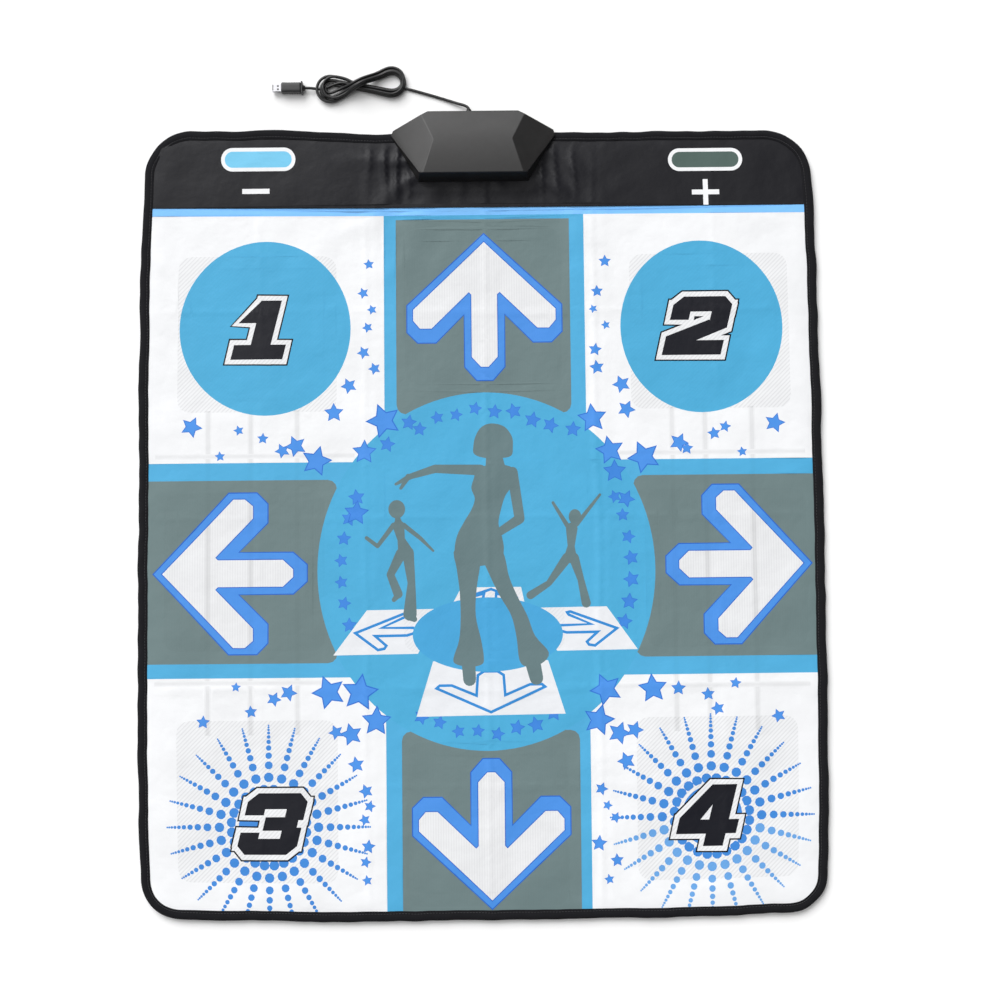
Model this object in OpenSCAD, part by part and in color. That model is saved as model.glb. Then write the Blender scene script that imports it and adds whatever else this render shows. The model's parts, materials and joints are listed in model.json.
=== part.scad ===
// Soft dance mat: a folding layered mat with ten pressure switches, a faceted
// control box on its rear edge, and a thin cord wound in a hank with a plug.
// Millimetres. X runs to the right, Y towards the control box, Z up.
// The origin is on the floor, in the middle of the mat and box together.

/* [Mat] */
// Width of the mat over its edge binding
mat_width = 806; // [796:1:830]
// Length of the mat over its edge binding
mat_length = 936; // [926:1:960]
// Radius of the two rear corners, beside the control box
rear_corner = 56; // [30:1:80]
// Radius of the two front corners
front_corner = 46; // [30:1:80]
// Width of the edge binding tape on each face
binding_width = 11; // [9:1:13]

/* [Layers] */
// Thickness of the non-slip backing cloth
backing_t = 0.8; // [0.6:0.1:1.2]
// Thickness of the base foam
base_foam_t = 2.2; // [1.8:0.1:3]
// Thickness of each contact film
film_t = 0.3; // [0.2:0.1:0.5]
// Thickness of a printed lower contact
contact_t = 0.2; // [0.1:0.1:0.3]
// Thickness of the spacer foam that holds the films apart
spacer_t = 2.2; // [2:0.1:3]
// Thickness of the printed cover cloth
cover_t = 1; // [0.8:0.1:1.5]
// Thickness of the edge binding tape
tape_t = 0.8; // [0.6:0.1:1.2]

/* [Switch zones] */
// Side of each square step pad
pad_size = 190; // [170:1:192]
// Corner radius of a step pad
pad_corner = 14; // [6:1:24]
// Distance of the four corner pads from the middle column
corner_pad_x = 270; // [268:1:274]
// Distance of the left and right pads from the middle column
side_pad_x = 284; // [282:1:286]
// Width of the two small buttons
button_width = 90; // [80:1:94]
// Depth of the two small buttons
button_depth = 29; // [24:1:32]
// Gap around a moving zone, on each side
zone_gap = 0.4; // [0.3:0.1:0.8]

/* [Control box] */
// Height of the flat top above the floor
box_height = 34; // [30:1:40]
// How far the box stands out behind the mat
box_overhang = 27; // [24:1:32]
// Depth of the box, front to rear
box_depth = 87; // [84:1:92]
// Wall thickness of the two shells
box_wall = 2.2; // [1.8:0.1:2.6]

/* [Cord and plug] */
// Diameter of the cord
cord_d = 3.5; // [3:0.1:3.9]
// Length of the plug's housing
plug_length = 24; // [22:1:26]
// Width of the plug's housing
plug_width = 13; // [11:1:16]
// Thickness of the plug's housing
plug_height = 11; // [10:1:13]

/* [Hidden] */
$fn = 48;
e = 0.01;

// Mat edges
rear_y = (mat_length - box_overhang) / 2;
front_y = rear_y - mat_length;

// Heights of the layers' undersides
foam_z = backing_t;
lower_film_z = foam_z + base_foam_t;
spacer_z = lower_film_z + film_t;
upper_film_z = spacer_z + spacer_t;
cover_z = upper_film_z + film_t;
tape_z = cover_z + cover_t;
mat_top = tape_z + tape_t;
tape_wall = 1;
film_inset = 14;

// Switch zones: middle of each as [x, y], then width, depth and corner radius
art_x = 5;
pad_r = pad_corner;
button_r = button_depth / 2 - 0.5;
ZONES = [
    [art_x, 243, pad_size, pad_size, pad_r],
    [art_x, -372, pad_size, pad_size, pad_r],
    [art_x - side_pad_x, -75, pad_size, pad_size, pad_r],
    [art_x + side_pad_x, -75, pad_size, pad_size, pad_r],
    [art_x - corner_pad_x, 210, pad_size, pad_size, pad_r],
    [art_x + corner_pad_x, 210, pad_size, pad_size, pad_r],
    [art_x - corner_pad_x, -345, pad_size, pad_size, pad_r],
    [art_x + corner_pad_x, -345, pad_size, pad_size, pad_r],
    [art_x - 272, 421, button_width, button_depth, button_r],
    [art_x + 272, 421, button_width, button_depth, button_r]
];
spacer_margin = 2;
contact_margin = 5;

// Control box outline, relative to the middle of the box
box_x = -5;
box_rear = rear_y + box_overhang;
box_front = box_rear - box_depth;
tip_y = rear_y + 2;
box_rear_half = 54.5;
box_tip_half = 99.5;
box_front_half = 66.5;
rim_z = mat_top + 2.5;
tip_rim_z = 14;
front_rim_z = 32.2;
shoulder_z = 23.2;
rear_rim_z = 21.8;
shoulder_half = 62.6;
shoulder_y = box_rear - 7.8;
plateau_front = box_front + 5;
plateau_rear = box_rear - 41;
plateau_front_half = 60.5;
plateau_rear_half = 47;
base_plate_t = 2.2;
binding_gap_half = 84;
front_screw = [52, box_front + 12];
rear_screw = [36, box_rear - 15];
screw_r = 1.5;
screw_hole_r = 1.7;
boss_r = 3.6;

// Circuit board
board = [76, 30, 1.6];
board_y = box_front + 30;
board_z = 14;
board_top = board_z + board[2];
board_screw_x = 31;
tail_width = 24;
tail_t = 0.4;
tail_bend_r = 7;
tail_bend_y = rear_y + 5.5;
connector = [30, 6, 4];
connector_y = board_y + 9;

// Cord: the place where it leaves the box, and the points that it follows
exit_x = -10;
exit_z = 6;
relief_r = 3.2;
relief_end = box_rear + 3.5;
LEAD = [
    [-10, 485, 6], [-11.4, 488, 5.6], [-16.5, 490.6, 4.8], [-24.5, 493.2, 3.6], [-36.5, 497.6, 2.3],
    [-48.5, 501.6, 1.75], [-61, 505.4, 1.75], [-73, 509, 1.75], [-80, 511, 1.75], [-86.2, 512.5, 1.75]
];
TAIL = [
    [-194.8, 512.5, 4.5], [-199, 513, 5], [-203, 513.4, 5.3], [-207, 513.5, 5.5], [-210, 513.5, 5.5]
];
hank_height = 16;
hank_left = [-180.5, 509.5, 15];
hank_right = [-103.5, 520.5, 19];
cord_sides = 8;

// Plug, lying along X with its nose to the left
plug_y = 513.5;
plug_rear = -214;
boot_length = 5;
plug_z = plug_height / 2;
nose_length = 11;
nose = [8.5, 5.5];
nose_wall = 0.5;

// ---- shared shapes ----

module rounded_rect(w, d, r) {
    x = w / 2;
    y = d / 2;
    polygon([
        [-x, r - y], [r - x, -y], [x - r, -y], [x, r - y],
        [x, y - r], [x - r, y], [r - x, y], [-x, y - r]
    ]);
    for (a = [-1, 1], b = [-1, 1]) translate([a * (x - r), b * (y - r)]) circle(r);
}

module mat_outline(inset) {
    half = mat_width / 2 - inset;
    rear = rear_y - inset;
    front = front_y + inset;
    rr = rear_corner - inset;
    fr = front_corner - inset;
    polygon([
        [-half, front + fr], [-half + fr, front], [half - fr, front], [half, front + fr],
        [half, rear - rr], [half - rr, rear], [-half + rr, rear], [-half, rear - rr]
    ]);
    for (side = [-1, 1]) {
        translate([side * (half - rr), rear - rr]) circle(rr, $fn = 96);
        translate([side * (half - fr), front + fr]) circle(fr, $fn = 96);
    }
}

// One zone's outline, grown by the given amount
module zone_outline(zone, grow) {
    translate([zone[0], zone[1]])
        rounded_rect(zone[2] + 2 * grow, zone[3] + 2 * grow, zone[4] + grow);
}

module front_screw_holes() {
    for (side = [-1, 1]) translate([box_x + side * front_screw[0], front_screw[1]]) circle(screw_hole_r);
}

// A full-width layer of the mat, without holes for the zones
module solid_layer(z, t, inset) {
    translate([0, 0, z]) linear_extrude(t) difference() {
        mat_outline(inset);
        front_screw_holes();
    }
}

// A layer with a window at every zone
module window_layer(z, t, inset, grow) {
    translate([0, 0, z]) linear_extrude(t) difference() {
        mat_outline(inset);
        front_screw_holes();
        for (zone = ZONES) zone_outline(zone, grow);
    }
}

// Outline of the box where it meets the mat
module box_outline() {
    translate([box_x, 0]) polygon([
        [-box_front_half, box_front], [box_front_half, box_front],
        [box_tip_half, tip_y - 5], [box_tip_half - 2, tip_y + 1],
        [box_rear_half, box_rear], [-box_rear_half, box_rear],
        [-box_tip_half + 2, tip_y + 1], [-box_tip_half, tip_y - 5]
    ]);
}

// The lower plate, let into the underside of the mat
module plate_outline() {
    intersection() {
        translate([box_x, 0]) polygon([
            [-58, box_front + 4], [58, box_front + 4], [binding_gap_half, rear_y - 11],
            [binding_gap_half, rear_y + 1], [-binding_gap_half, rear_y + 1],
            [-binding_gap_half, rear_y - 11]
        ]);
        box_outline();
    }
}

// Closed gem form of the box, shrunk inwards by a wall on every face
module box_form(wall) {
    slope = wall * 1.15;
    translate([box_x, 0, 0]) hull() {
        translate([0, 0, tape_z]) linear_extrude(rim_z - tape_z - wall / 4) polygon([
            [-box_front_half + slope, box_front + wall], [box_front_half - slope, box_front + wall],
            [box_tip_half - slope, tip_y - 5], [box_tip_half - 2 - slope, tip_y + 1],
            [box_rear_half - slope / 2, box_rear - wall], [-box_rear_half + slope / 2, box_rear - wall],
            [-box_tip_half + 2 + slope, tip_y + 1], [-box_tip_half + slope, tip_y - 5]
        ]);
        form_rim(tip_rim_z - wall, box_tip_half - 8 - slope, tip_y - 0.1, 60, tip_y - 26);
        form_rim(front_rim_z - wall, box_front_half - 2 - slope, box_front + 5.5 + wall, 50, box_front + 15);
        form_rim(shoulder_z - slope, shoulder_half - slope, shoulder_y - wall, 40, shoulder_y - 14);
        form_rim(rear_rim_z - slope, box_rear_half - wall / 2, box_rear - 3.3 - wall, 40, box_rear - 20);
        translate([0, 0, tape_z]) linear_extrude(box_height - tape_z - wall) polygon([
            [-plateau_front_half + wall, plateau_front + wall],
            [plateau_front_half - wall, plateau_front + wall],
            [plateau_rear_half - wall, plateau_rear - wall / 3],
            [-plateau_rear_half + wall, plateau_rear - wall / 3]
        ]);
    }
}

// Two mirrored corners of the box's form at one height, filled in towards the middle
module form_rim(top, half, y, inner_half, inner_y) {
    translate([0, 0, tape_z]) linear_extrude(top - tape_z)
        polygon([[-half, y], [half, y], [inner_half, inner_y], [-inner_half, inner_y]]);
}

// ---- mat layers ----

module backing_cloth() color("#2b2b2e") linear_extrude(backing_t) difference() {
    mat_outline(binding_width + 0.2);
    plate_outline();
}

module base_foam() color("#8d8f92") difference() {
    solid_layer(foam_z, base_foam_t, tape_wall);
    translate([0, 0, foam_z - e]) linear_extrude(base_plate_t - foam_z + e) plate_outline();
}

module lower_film() color("#c9ccd0") solid_layer(lower_film_z, film_t, film_inset);

module lower_contacts() color("#3a3a3d") {
    for (zone = ZONES)
        translate([0, 0, spacer_z]) linear_extrude(contact_t) zone_outline(zone, -contact_margin);
}

module spacer_foam() color("#b9bbbd") difference() {
    window_layer(spacer_z, spacer_t, tape_wall, spacer_margin);
    translate([box_x - tail_width / 2 - 1, rear_y - 16, spacer_z - 1]) cube([tail_width + 2, 20, spacer_t + 2]);
}

module upper_film() color("#c9ccd0") window_layer(upper_film_z, film_t, film_inset, zone_gap);

module top_cover() color("#bfe3f5") window_layer(cover_z, cover_t, tape_wall, zone_gap);

// Folded tape around the whole edge, open only where the box clamps the mat
module edge_binding() color("#151517") difference() {
    linear_extrude(mat_top) mat_outline(0);
    translate([0, 0, -1]) linear_extrude(mat_top + 2) mat_outline(binding_width);
    translate([0, 0, backing_t]) linear_extrude(tape_z - backing_t) mat_outline(tape_wall);
    translate([box_x - binding_gap_half - 0.2, rear_y - 40, -1])
        cube([2 * binding_gap_half + 0.4, 60, mat_top + 2]);
}

// ---- moving zones ----

module zone_patch(zone, tint) color(tint)
    translate([0, 0, cover_z]) linear_extrude(cover_t) zone_outline(zone, 0);

module zone_contact(zone) color("#3a3a3d")
    translate([0, 0, upper_film_z]) linear_extrude(film_t) zone_outline(zone, 0);

// ---- film tail and control box ----

// A ribbon that leaves the films at the rear edge and turns back over the board
module film_tail() color("#d8d3b8") {
    start_y = rear_y - 15;
    top_z = spacer_z + 2 * tail_bend_r;
    translate([box_x - tail_width / 2, start_y, spacer_z]) cube([tail_width, tail_bend_y - start_y, tail_t]);
    translate([box_x - tail_width / 2, tail_bend_y, spacer_z + tail_bend_r]) rotate([90, 0, 90])
        linear_extrude(tail_width) difference() {
            circle(tail_bend_r);
            circle(tail_bend_r - tail_t);
            translate([-20, -10]) square([20, 20]);
        }
    translate([box_x - tail_width / 2, connector_y + connector[1] / 2, top_z - tail_t])
        cube([tail_width, tail_bend_y - connector_y - connector[1] / 2, tail_t]);
}

module screw_places() {
    for (place = [front_screw, rear_screw], side = [-1, 1])
        translate([box_x + side * place[0], place[1], 0]) children();
}

// Bore that the strain relief sits in, across both shells
module relief_bore() {
    translate([exit_x, box_rear + 1, exit_z]) rotate([90, 0, 0]) cylinder(h = 12, r = relief_r);
}

module box_base() color("#1b1b1e") difference() {
    union() {
        linear_extrude(base_plate_t) plate_outline();
        // tray behind the mat, with walls up to the cover
        linear_extrude(mat_top) intersection() {
            box_outline();
            translate([-200, rear_y + 0.5]) square([400, 60]);
        }
        // bosses that carry the two rear screws
        for (side = [-1, 1]) translate([box_x + side * rear_screw[0], rear_screw[1], 0])
            cylinder(h = mat_top, r = boss_r + 0.4);
    }
    difference() {
        translate([0, 0, base_plate_t]) linear_extrude(20) intersection() {
            offset(delta = -box_wall) box_outline();
            translate([-200, rear_y + 0.5 - e]) square([400, 60]);
        }
        for (side = [-1, 1]) translate([box_x + side * rear_screw[0], rear_screw[1], 0])
            cylinder(h = 30, r = boss_r + 0.4);
    }
    screw_places() translate([0, 0, -1]) cylinder(h = 20, r = screw_hole_r);
    screw_places() translate([0, 0, -1]) cylinder(h = 2.1, r = 3.1);
    relief_bore();
}

module box_cover() color("#232326") difference() {
    union() {
        difference() {
            box_form(0);
            translate([0, 0, -e]) box_form(box_wall);
        }
        // screw bosses and board bosses, trimmed to the outer form
        intersection() {
            box_form(0);
            union() {
                for (side = [-1, 1]) {
                    translate([box_x + side * front_screw[0], front_screw[1], tape_z]) cylinder(h = 40, r = boss_r);
                    translate([box_x + side * rear_screw[0], rear_screw[1], mat_top]) cylinder(h = 40, r = boss_r);
                    translate([box_x + side * board_screw_x, board_y, board_top]) cylinder(h = 40, r = 3);
                }
            }
        }
    }
    // room for the mat's binding and the lower tray
    translate([-200, rear_y - binding_width - 0.5, tape_z - 1]) cube([400, 60, tape_t + 1]);
    screw_places() cylinder(h = 13, r = screw_r);
    for (side = [-1, 1]) translate([box_x + side * board_screw_x, board_y, 0]) cylinder(h = 24, r = 1.1);
    relief_bore();
}

// Four self-tapping screws, driven up from below
module case_screws() color("#b8babd") screw_places() {
    translate([0, 0, 0.2]) cylinder(h = 0.9, r = 2.8);
    translate([0, 0, 1]) cylinder(h = 11.5, r = screw_r);
}

module circuit_board() color("#2f7a43") difference() {
    translate([box_x - board[0] / 2, board_y - board[1] / 2, board_z]) cube(board);
    for (side = [-1, 1]) translate([box_x + side * board_screw_x, board_y, 0]) cylinder(h = 30, r = 1.3);
}

module board_screws() color("#b8babd")
    for (side = [-1, 1]) translate([box_x + side * board_screw_x, board_y, 0]) {
        translate([0, 0, board_z - 1.4]) cylinder(h = 1.4, r = 2.4);
        translate([0, 0, board_z - 0.1]) cylinder(h = 7, r = 1.1);
    }

// Blob of resin over the chip
module controller_chip() color("#101012")
    translate([box_x - 8, board_y - 3, board_top]) {
        cylinder(h = 0.8, r = 8);
        translate([0, 0, 0.8]) cylinder(h = 0.9, r1 = 7.4, r2 = 5);
    }

module capacitors() color("#33476b")
    for (x = [12, 19]) translate([box_x + x, board_y - 8, board_top]) cylinder(h = 7, r = 2.5);

module resonator() color("#d08a2c")
    translate([box_x + 10, board_y - 1, board_top]) cube([7, 3, 5]);

module tail_connector() color("#e8e6df")
    translate([box_x - connector[0] / 2, connector_y - connector[1] / 2, board_top]) cube(connector);

// ---- cord ----

// Flanged bush that grips the cord in the rear wall
module strain_relief() color("#17171a") translate([exit_x, 0, exit_z]) rotate([-90, 0, 0]) {
    translate([0, 0, box_rear - box_wall - 2]) cylinder(h = 2, r = relief_r + 1);
    translate([0, 0, box_rear - box_wall - e]) cylinder(h = box_wall + e, r = relief_r);
    translate([0, 0, box_rear]) cylinder(h = relief_end - box_rear, r1 = relief_r + 0.3, r2 = 2.5);
}

function unit(v) = v / norm(v);

// Direction of the route at point i
function heading(path, i) = unit(path[min(i + 1, len(path) - 1)] - path[max(i - 1, 0)]);

// Point a share of the way along a smooth curve from point i to the next
function smooth(path, i, s) =
    let (p0 = path[max(i - 1, 0)], p1 = path[i], p2 = path[i + 1], p3 = path[min(i + 2, len(path) - 1)])
    0.5 * (2 * p1 + (p2 - p0) * s + (2 * p0 - 5 * p1 + 4 * p2 - p3) * s * s
        + (3 * p1 - p0 - 3 * p2 + p3) * s * s * s);

// The route with one extra point between each pair
function finer(path) = concat(
    [for (i = [0 : len(path) - 2], s = [0, 0.5]) smooth(path, i, s)], [path[len(path) - 1]]);

// One ring of the tube, square to the route at point i
function ring(path, i, r) =
    let (h = heading(path, i), side = unit(cross([0, 0, 1], h)), up = cross(h, side))
    [for (k = [0 : cord_sides - 1])
        let (a = 360 * (k + 0.5) / cord_sides) path[i] + r * (cos(a) * side + sin(a) * up)];

module tube(path, r) {
    n = cord_sides;
    last = len(path) - 1;
    polyhedron(
        points = [for (i = [0 : last]) each ring(path, i, r)],
        faces = concat(
            [[for (k = [0 : n - 1]) k]],
            [for (i = [0 : last - 1], k = [0 : n - 1])
                [i * n + k, (i + 1) * n + k, (i + 1) * n + (k + 1) % n]],
            [for (i = [0 : last - 1], k = [0 : n - 1])
                [i * n + k, (i + 1) * n + (k + 1) % n, i * n + (k + 1) % n]],
            [[for (k = [n - 1 : -1 : 0]) last * n + k]]
        ));
}

module cord_lead() color("#1a1a1c") tube(finer(LEAD), cord_d / 2);

module cord_tail() color("#1a1a1c") tube(TAIL, cord_d / 2);

// Outer form of the figure-of-eight hank, flat on the floor
module cord_hank() color("#1a1a1c") linear_extrude(hank_height) hull() {
    translate([hank_left[0], hank_left[1]]) circle(hank_left[2]);
    translate([hank_right[0], hank_right[1]]) circle(hank_right[2]);
}

// ---- plug ----

module along_plug(x) {
    translate([x, plug_y, plug_z]) rotate([0, -90, 0]) children();
}

// Housing with five grip grooves on each side
module plug_housing() color("#161618") difference() {
    along_plug(plug_rear) linear_extrude(plug_length) rounded_rect(plug_height, plug_width, 2.5);
    for (i = [0 : 4], side = [-1, 1])
        translate([plug_rear - 6 - 3 * i, plug_y + side * plug_width / 2, plug_z])
            cube([1.2, 1, plug_height - 6], center = true);
}

module plug_boot() color("#161618") {
    along_plug(plug_rear + 2) linear_extrude(2) rounded_rect(plug_height - 1, plug_width + 2, 2.5);
    translate([plug_rear + 2, plug_y, plug_z]) rotate([0, 90, 0]) cylinder(h = boot_length - 2, r1 = 4, r2 = 2.6);
}

module plug_shell() color("#d9dadd") along_plug(plug_rear - plug_length) linear_extrude(nose_length)
    difference() {
        square([nose[1], nose[0]], center = true);
        square([nose[1] - 2 * nose_wall, nose[0] - 2 * nose_wall], center = true);
    }

module plug_insert() color("#f1f1ee") along_plug(plug_rear - plug_length)
    linear_extrude(nose_length - 1.5) difference() {
        square([nose[1] - 2 * nose_wall, nose[0] - 2 * nose_wall], center = true);
        translate([1.2, 0]) square([2.2, nose[0] - 2.4], center = true);
    }

module plug_pins() color("#c9a24a")
    for (i = [-2 : 2])
        translate([plug_rear - plug_length - nose_length + 1.8, plug_y + 1.15 * i - 0.3, plug_z + 0.1])
            cube([nose_length - 1.8, 0.6, 0.3]);

// ---- assembly ----

backing_cloth();
base_foam();
lower_film();
lower_contacts();
spacer_foam();
upper_film();
top_cover();
edge_binding();
zone_patch(ZONES[0], "#7d8b88");  // pad_up
zone_patch(ZONES[1], "#7d8b88");  // pad_down
zone_patch(ZONES[2], "#7d8b88");  // pad_left
zone_patch(ZONES[3], "#7d8b88");  // pad_right
zone_patch(ZONES[4], "#5bb8e8");  // pad_rear_left
zone_patch(ZONES[5], "#5bb8e8");  // pad_rear_right
zone_patch(ZONES[6], "#f2f4f5");  // pad_front_left
zone_patch(ZONES[7], "#f2f4f5");  // pad_front_right
zone_patch(ZONES[8], "#5bb8e8");  // button_minus
zone_patch(ZONES[9], "#5f6f6a");  // button_plus
zone_contact(ZONES[0]);  // contact_up
zone_contact(ZONES[1]);  // contact_down
zone_contact(ZONES[2]);  // contact_left
zone_contact(ZONES[3]);  // contact_right
zone_contact(ZONES[4]);  // contact_rear_left
zone_contact(ZONES[5]);  // contact_rear_right
zone_contact(ZONES[6]);  // contact_front_left
zone_contact(ZONES[7]);  // contact_front_right
zone_contact(ZONES[8]);  // contact_minus
zone_contact(ZONES[9]);  // contact_plus
film_tail();
box_base();
box_cover();
case_screws();
circuit_board();
board_screws();
controller_chip();
capacitors();
resonator();
tail_connector();
strain_relief();
cord_lead();
cord_hank();
cord_tail();
plug_housing();
plug_boot();
plug_shell();
plug_insert();
plug_pins();
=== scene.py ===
"""Looks of the soft dance mat: printed cloth cover, edge tape, control box, corded plug.

Prints, the cloth's plan and the cord's route are worked out in millimetres, in the frame's own
axes, and turn into metres as each mesh is made. The frame's boxes, lights and materials are in metres.
"""
import json
import math

import bmesh
import bpy
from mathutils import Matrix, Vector, geometry, noise


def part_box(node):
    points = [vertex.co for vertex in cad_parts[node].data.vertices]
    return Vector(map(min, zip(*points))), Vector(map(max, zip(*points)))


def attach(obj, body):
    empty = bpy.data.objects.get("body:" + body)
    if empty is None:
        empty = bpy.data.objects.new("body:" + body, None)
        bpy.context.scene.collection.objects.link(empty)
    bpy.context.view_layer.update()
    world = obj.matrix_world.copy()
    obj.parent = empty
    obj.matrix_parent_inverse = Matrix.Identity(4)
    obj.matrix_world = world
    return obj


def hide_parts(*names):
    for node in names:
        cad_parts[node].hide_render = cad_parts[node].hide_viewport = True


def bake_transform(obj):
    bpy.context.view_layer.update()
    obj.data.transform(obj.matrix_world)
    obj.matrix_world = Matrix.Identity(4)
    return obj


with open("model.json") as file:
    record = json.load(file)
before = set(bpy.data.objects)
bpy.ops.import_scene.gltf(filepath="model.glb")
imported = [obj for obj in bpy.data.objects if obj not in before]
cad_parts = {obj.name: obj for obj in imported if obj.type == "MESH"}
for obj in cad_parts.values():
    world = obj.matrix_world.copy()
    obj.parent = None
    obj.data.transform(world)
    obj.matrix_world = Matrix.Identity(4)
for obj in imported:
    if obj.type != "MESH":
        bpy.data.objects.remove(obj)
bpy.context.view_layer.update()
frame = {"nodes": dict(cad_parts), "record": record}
MM = 0.001

# ---------------------------------------------------------------- places from the frame

MAT_LOW, MAT_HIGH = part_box("edge_binding")
COVER_LOW, COVER_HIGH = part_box("top_cover")
BACKING_LOW, BACKING_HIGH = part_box("backing_cloth")
BOX_LOW, BOX_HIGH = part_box("box_cover")
COVER_Z = COVER_HIGH[2]

# The mat's sides, corner radii and top, the box's middle and front, all in millimetres
LEFT, FRONT = MAT_LOW[0] / MM, MAT_LOW[1] / MM
RIGHT, REAR = MAT_HIGH[0] / MM, MAT_HIGH[1] / MM
TOP = MAT_HIGH[2] / MM
REAR_CORNER = 56
FRONT_CORNER = 46
BOX_X = (BOX_LOW[0] + BOX_HIGH[0]) / 2 / MM
BOX_FRONT = BOX_LOW[1] / MM
# half the gap that the binding leaves for the box
BINDING_GAP = 84

# The moving zones, and how wide a border strip each has
CROSS_PADS = ["up", "down", "left", "right"]
STEP_PADS = CROSS_PADS + ["rear_left", "rear_right", "front_left", "front_right"]
BUTTONS = ["minus", "plus"]
PAD_BEND = 16
BUTTON_BEND = 9

# Spacing of the points and stitches, in millimetres
COVER_GRID = 4.6
TAPE_STEP = 3.2
STITCH_PITCH = 3.6
BACKING_GRID = 12

# Cord: the same points as in the CAD model, in millimetres
CORD_D = 3.5
LEAD = [
    (-10, 485, 6), (-11.4, 488, 5.6), (-16.5, 490.6, 4.8), (-24.5, 493.2, 3.6), (-36.5, 497.6, 2.3),
    (-48.5, 501.6, 1.75), (-61, 505.4, 1.75), (-73, 509, 1.75), (-80, 511, 1.75), (-86.2, 512.5, 1.75),
]
TAIL = [
    (-194.8, 512.5, 4.5), (-199, 513, 5), (-203, 513.4, 5.3), (-207, 513.5, 5.5), (-210, 513.5, 5.5),
]


# ---------------------------------------------------------------- camera, light and floor

def add_object(name, data):
    """A new object in the scene."""
    made = bpy.data.objects.new(name, data)
    bpy.context.collection.objects.link(made)
    return made


def aim(made, direction):
    """Turns a camera or light to look along a direction."""
    made.rotation_euler = direction.to_track_quat("-Z", "Y").to_euler()


def make_camera():
    """The photo's view, almost straight down from a little in front of the middle."""
    data = bpy.data.cameras.new("camera")
    data.lens = 60.2
    data.sensor_width = 36
    camera = add_object("camera", data)
    camera.location = (0.0216, -0.14, 2.0)
    target = Vector((0.0231, 0.0078, 0.007))
    aim(camera, target - camera.location)
    bpy.context.scene.camera = camera


def broad_light(name, toward, spread, strength):
    """A wide even light, like a large softbox far away in the given direction."""
    data = bpy.data.lights.new(name, "SUN")
    data.angle = math.radians(spread)
    data.energy = strength
    light = add_object(name, data)
    light.location = Vector(toward) * 3
    aim(light, -Vector(toward))


def studio_sky(scene):
    """Pale to the rear left and all round the horizon, dim overhead to the front right,
    so the dark plastic's facets differ."""
    world = bpy.data.worlds.new("studio")
    world.use_nodes = True
    n = Nodes(world)
    backdrop = n.tree.nodes["Background"]
    backdrop.inputs["Color"].default_value = (1, 1, 1, 1)
    direction = n.coords("Generated")
    facing = n.add("ShaderNodeVectorMath", operation="DOT_PRODUCT")
    facing.inputs[1].default_value = Vector((-0.6, 0.62, 0.55)).normalized()
    n.link(direction, facing.inputs[0])
    upward = n.add("ShaderNodeSeparateXYZ")
    n.link(direction, upward.inputs[0])
    rear_left = n.spread(facing.outputs["Value"], 0.06, 0.8, over=(-0.15, 0.95), curve="SMOOTHSTEP")
    horizon = n.spread(upward.outputs["Z"], 0.82, 0.0, over=(0.1, 0.34), curve="SMOOTHSTEP")
    n.link(n.math("MAXIMUM", rear_left, horizon), backdrop.inputs["Strength"])
    scene.world = world


def make_studio():
    """Sky, two wide lights and a white floor."""
    scene = bpy.context.scene
    scene.view_settings.view_transform = "Standard"
    studio_sky(scene)
    broad_light("key", (-0.38, 0.71, 0.62), 45, 2.75)
    broad_light("overhead", (-0.3, 0.1, 0.95), 45, 0.45)

    side = 14
    mesh = bpy.data.meshes.new("floor")
    mesh.from_pydata([(x, y, 0) for x, y in rectangle(-side, -side, side, side)], [], [(0, 1, 2, 3)])
    floor = add_object("floor", mesh)
    material, _, _ = new_material("floor_surface", (0.97, 0.97, 0.97), 0.9, specular=0.2)
    mesh.materials.append(material)


# ---------------------------------------------------------------- material helpers

def linear(hex_colour):
    """A colour as written on screen, turned into the linear values that shaders take."""
    parts = [int(hex_colour[i:i + 2], 16) / 255 for i in (1, 3, 5)]
    return tuple(p / 12.92 if p <= 0.04045 else ((p + 0.055) / 1.055) ** 2.4 for p in parts)


def new_material(name, base, roughness, metallic=0.0, specular=0.5, sheen=0.0):
    """A material, its surface shader and short calls for its nodes."""
    material = bpy.data.materials.new(name)
    material.use_nodes = True
    n = Nodes(material)
    surface = n.tree.nodes["Principled BSDF"]
    surface.inputs["Base Color"].default_value = (*base, 1)
    surface.inputs["Roughness"].default_value = roughness
    surface.inputs["Metallic"].default_value = metallic
    surface.inputs["Specular IOR Level"].default_value = specular
    surface.inputs["Sheen Weight"].default_value = sheen
    return material, surface, n


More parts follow.
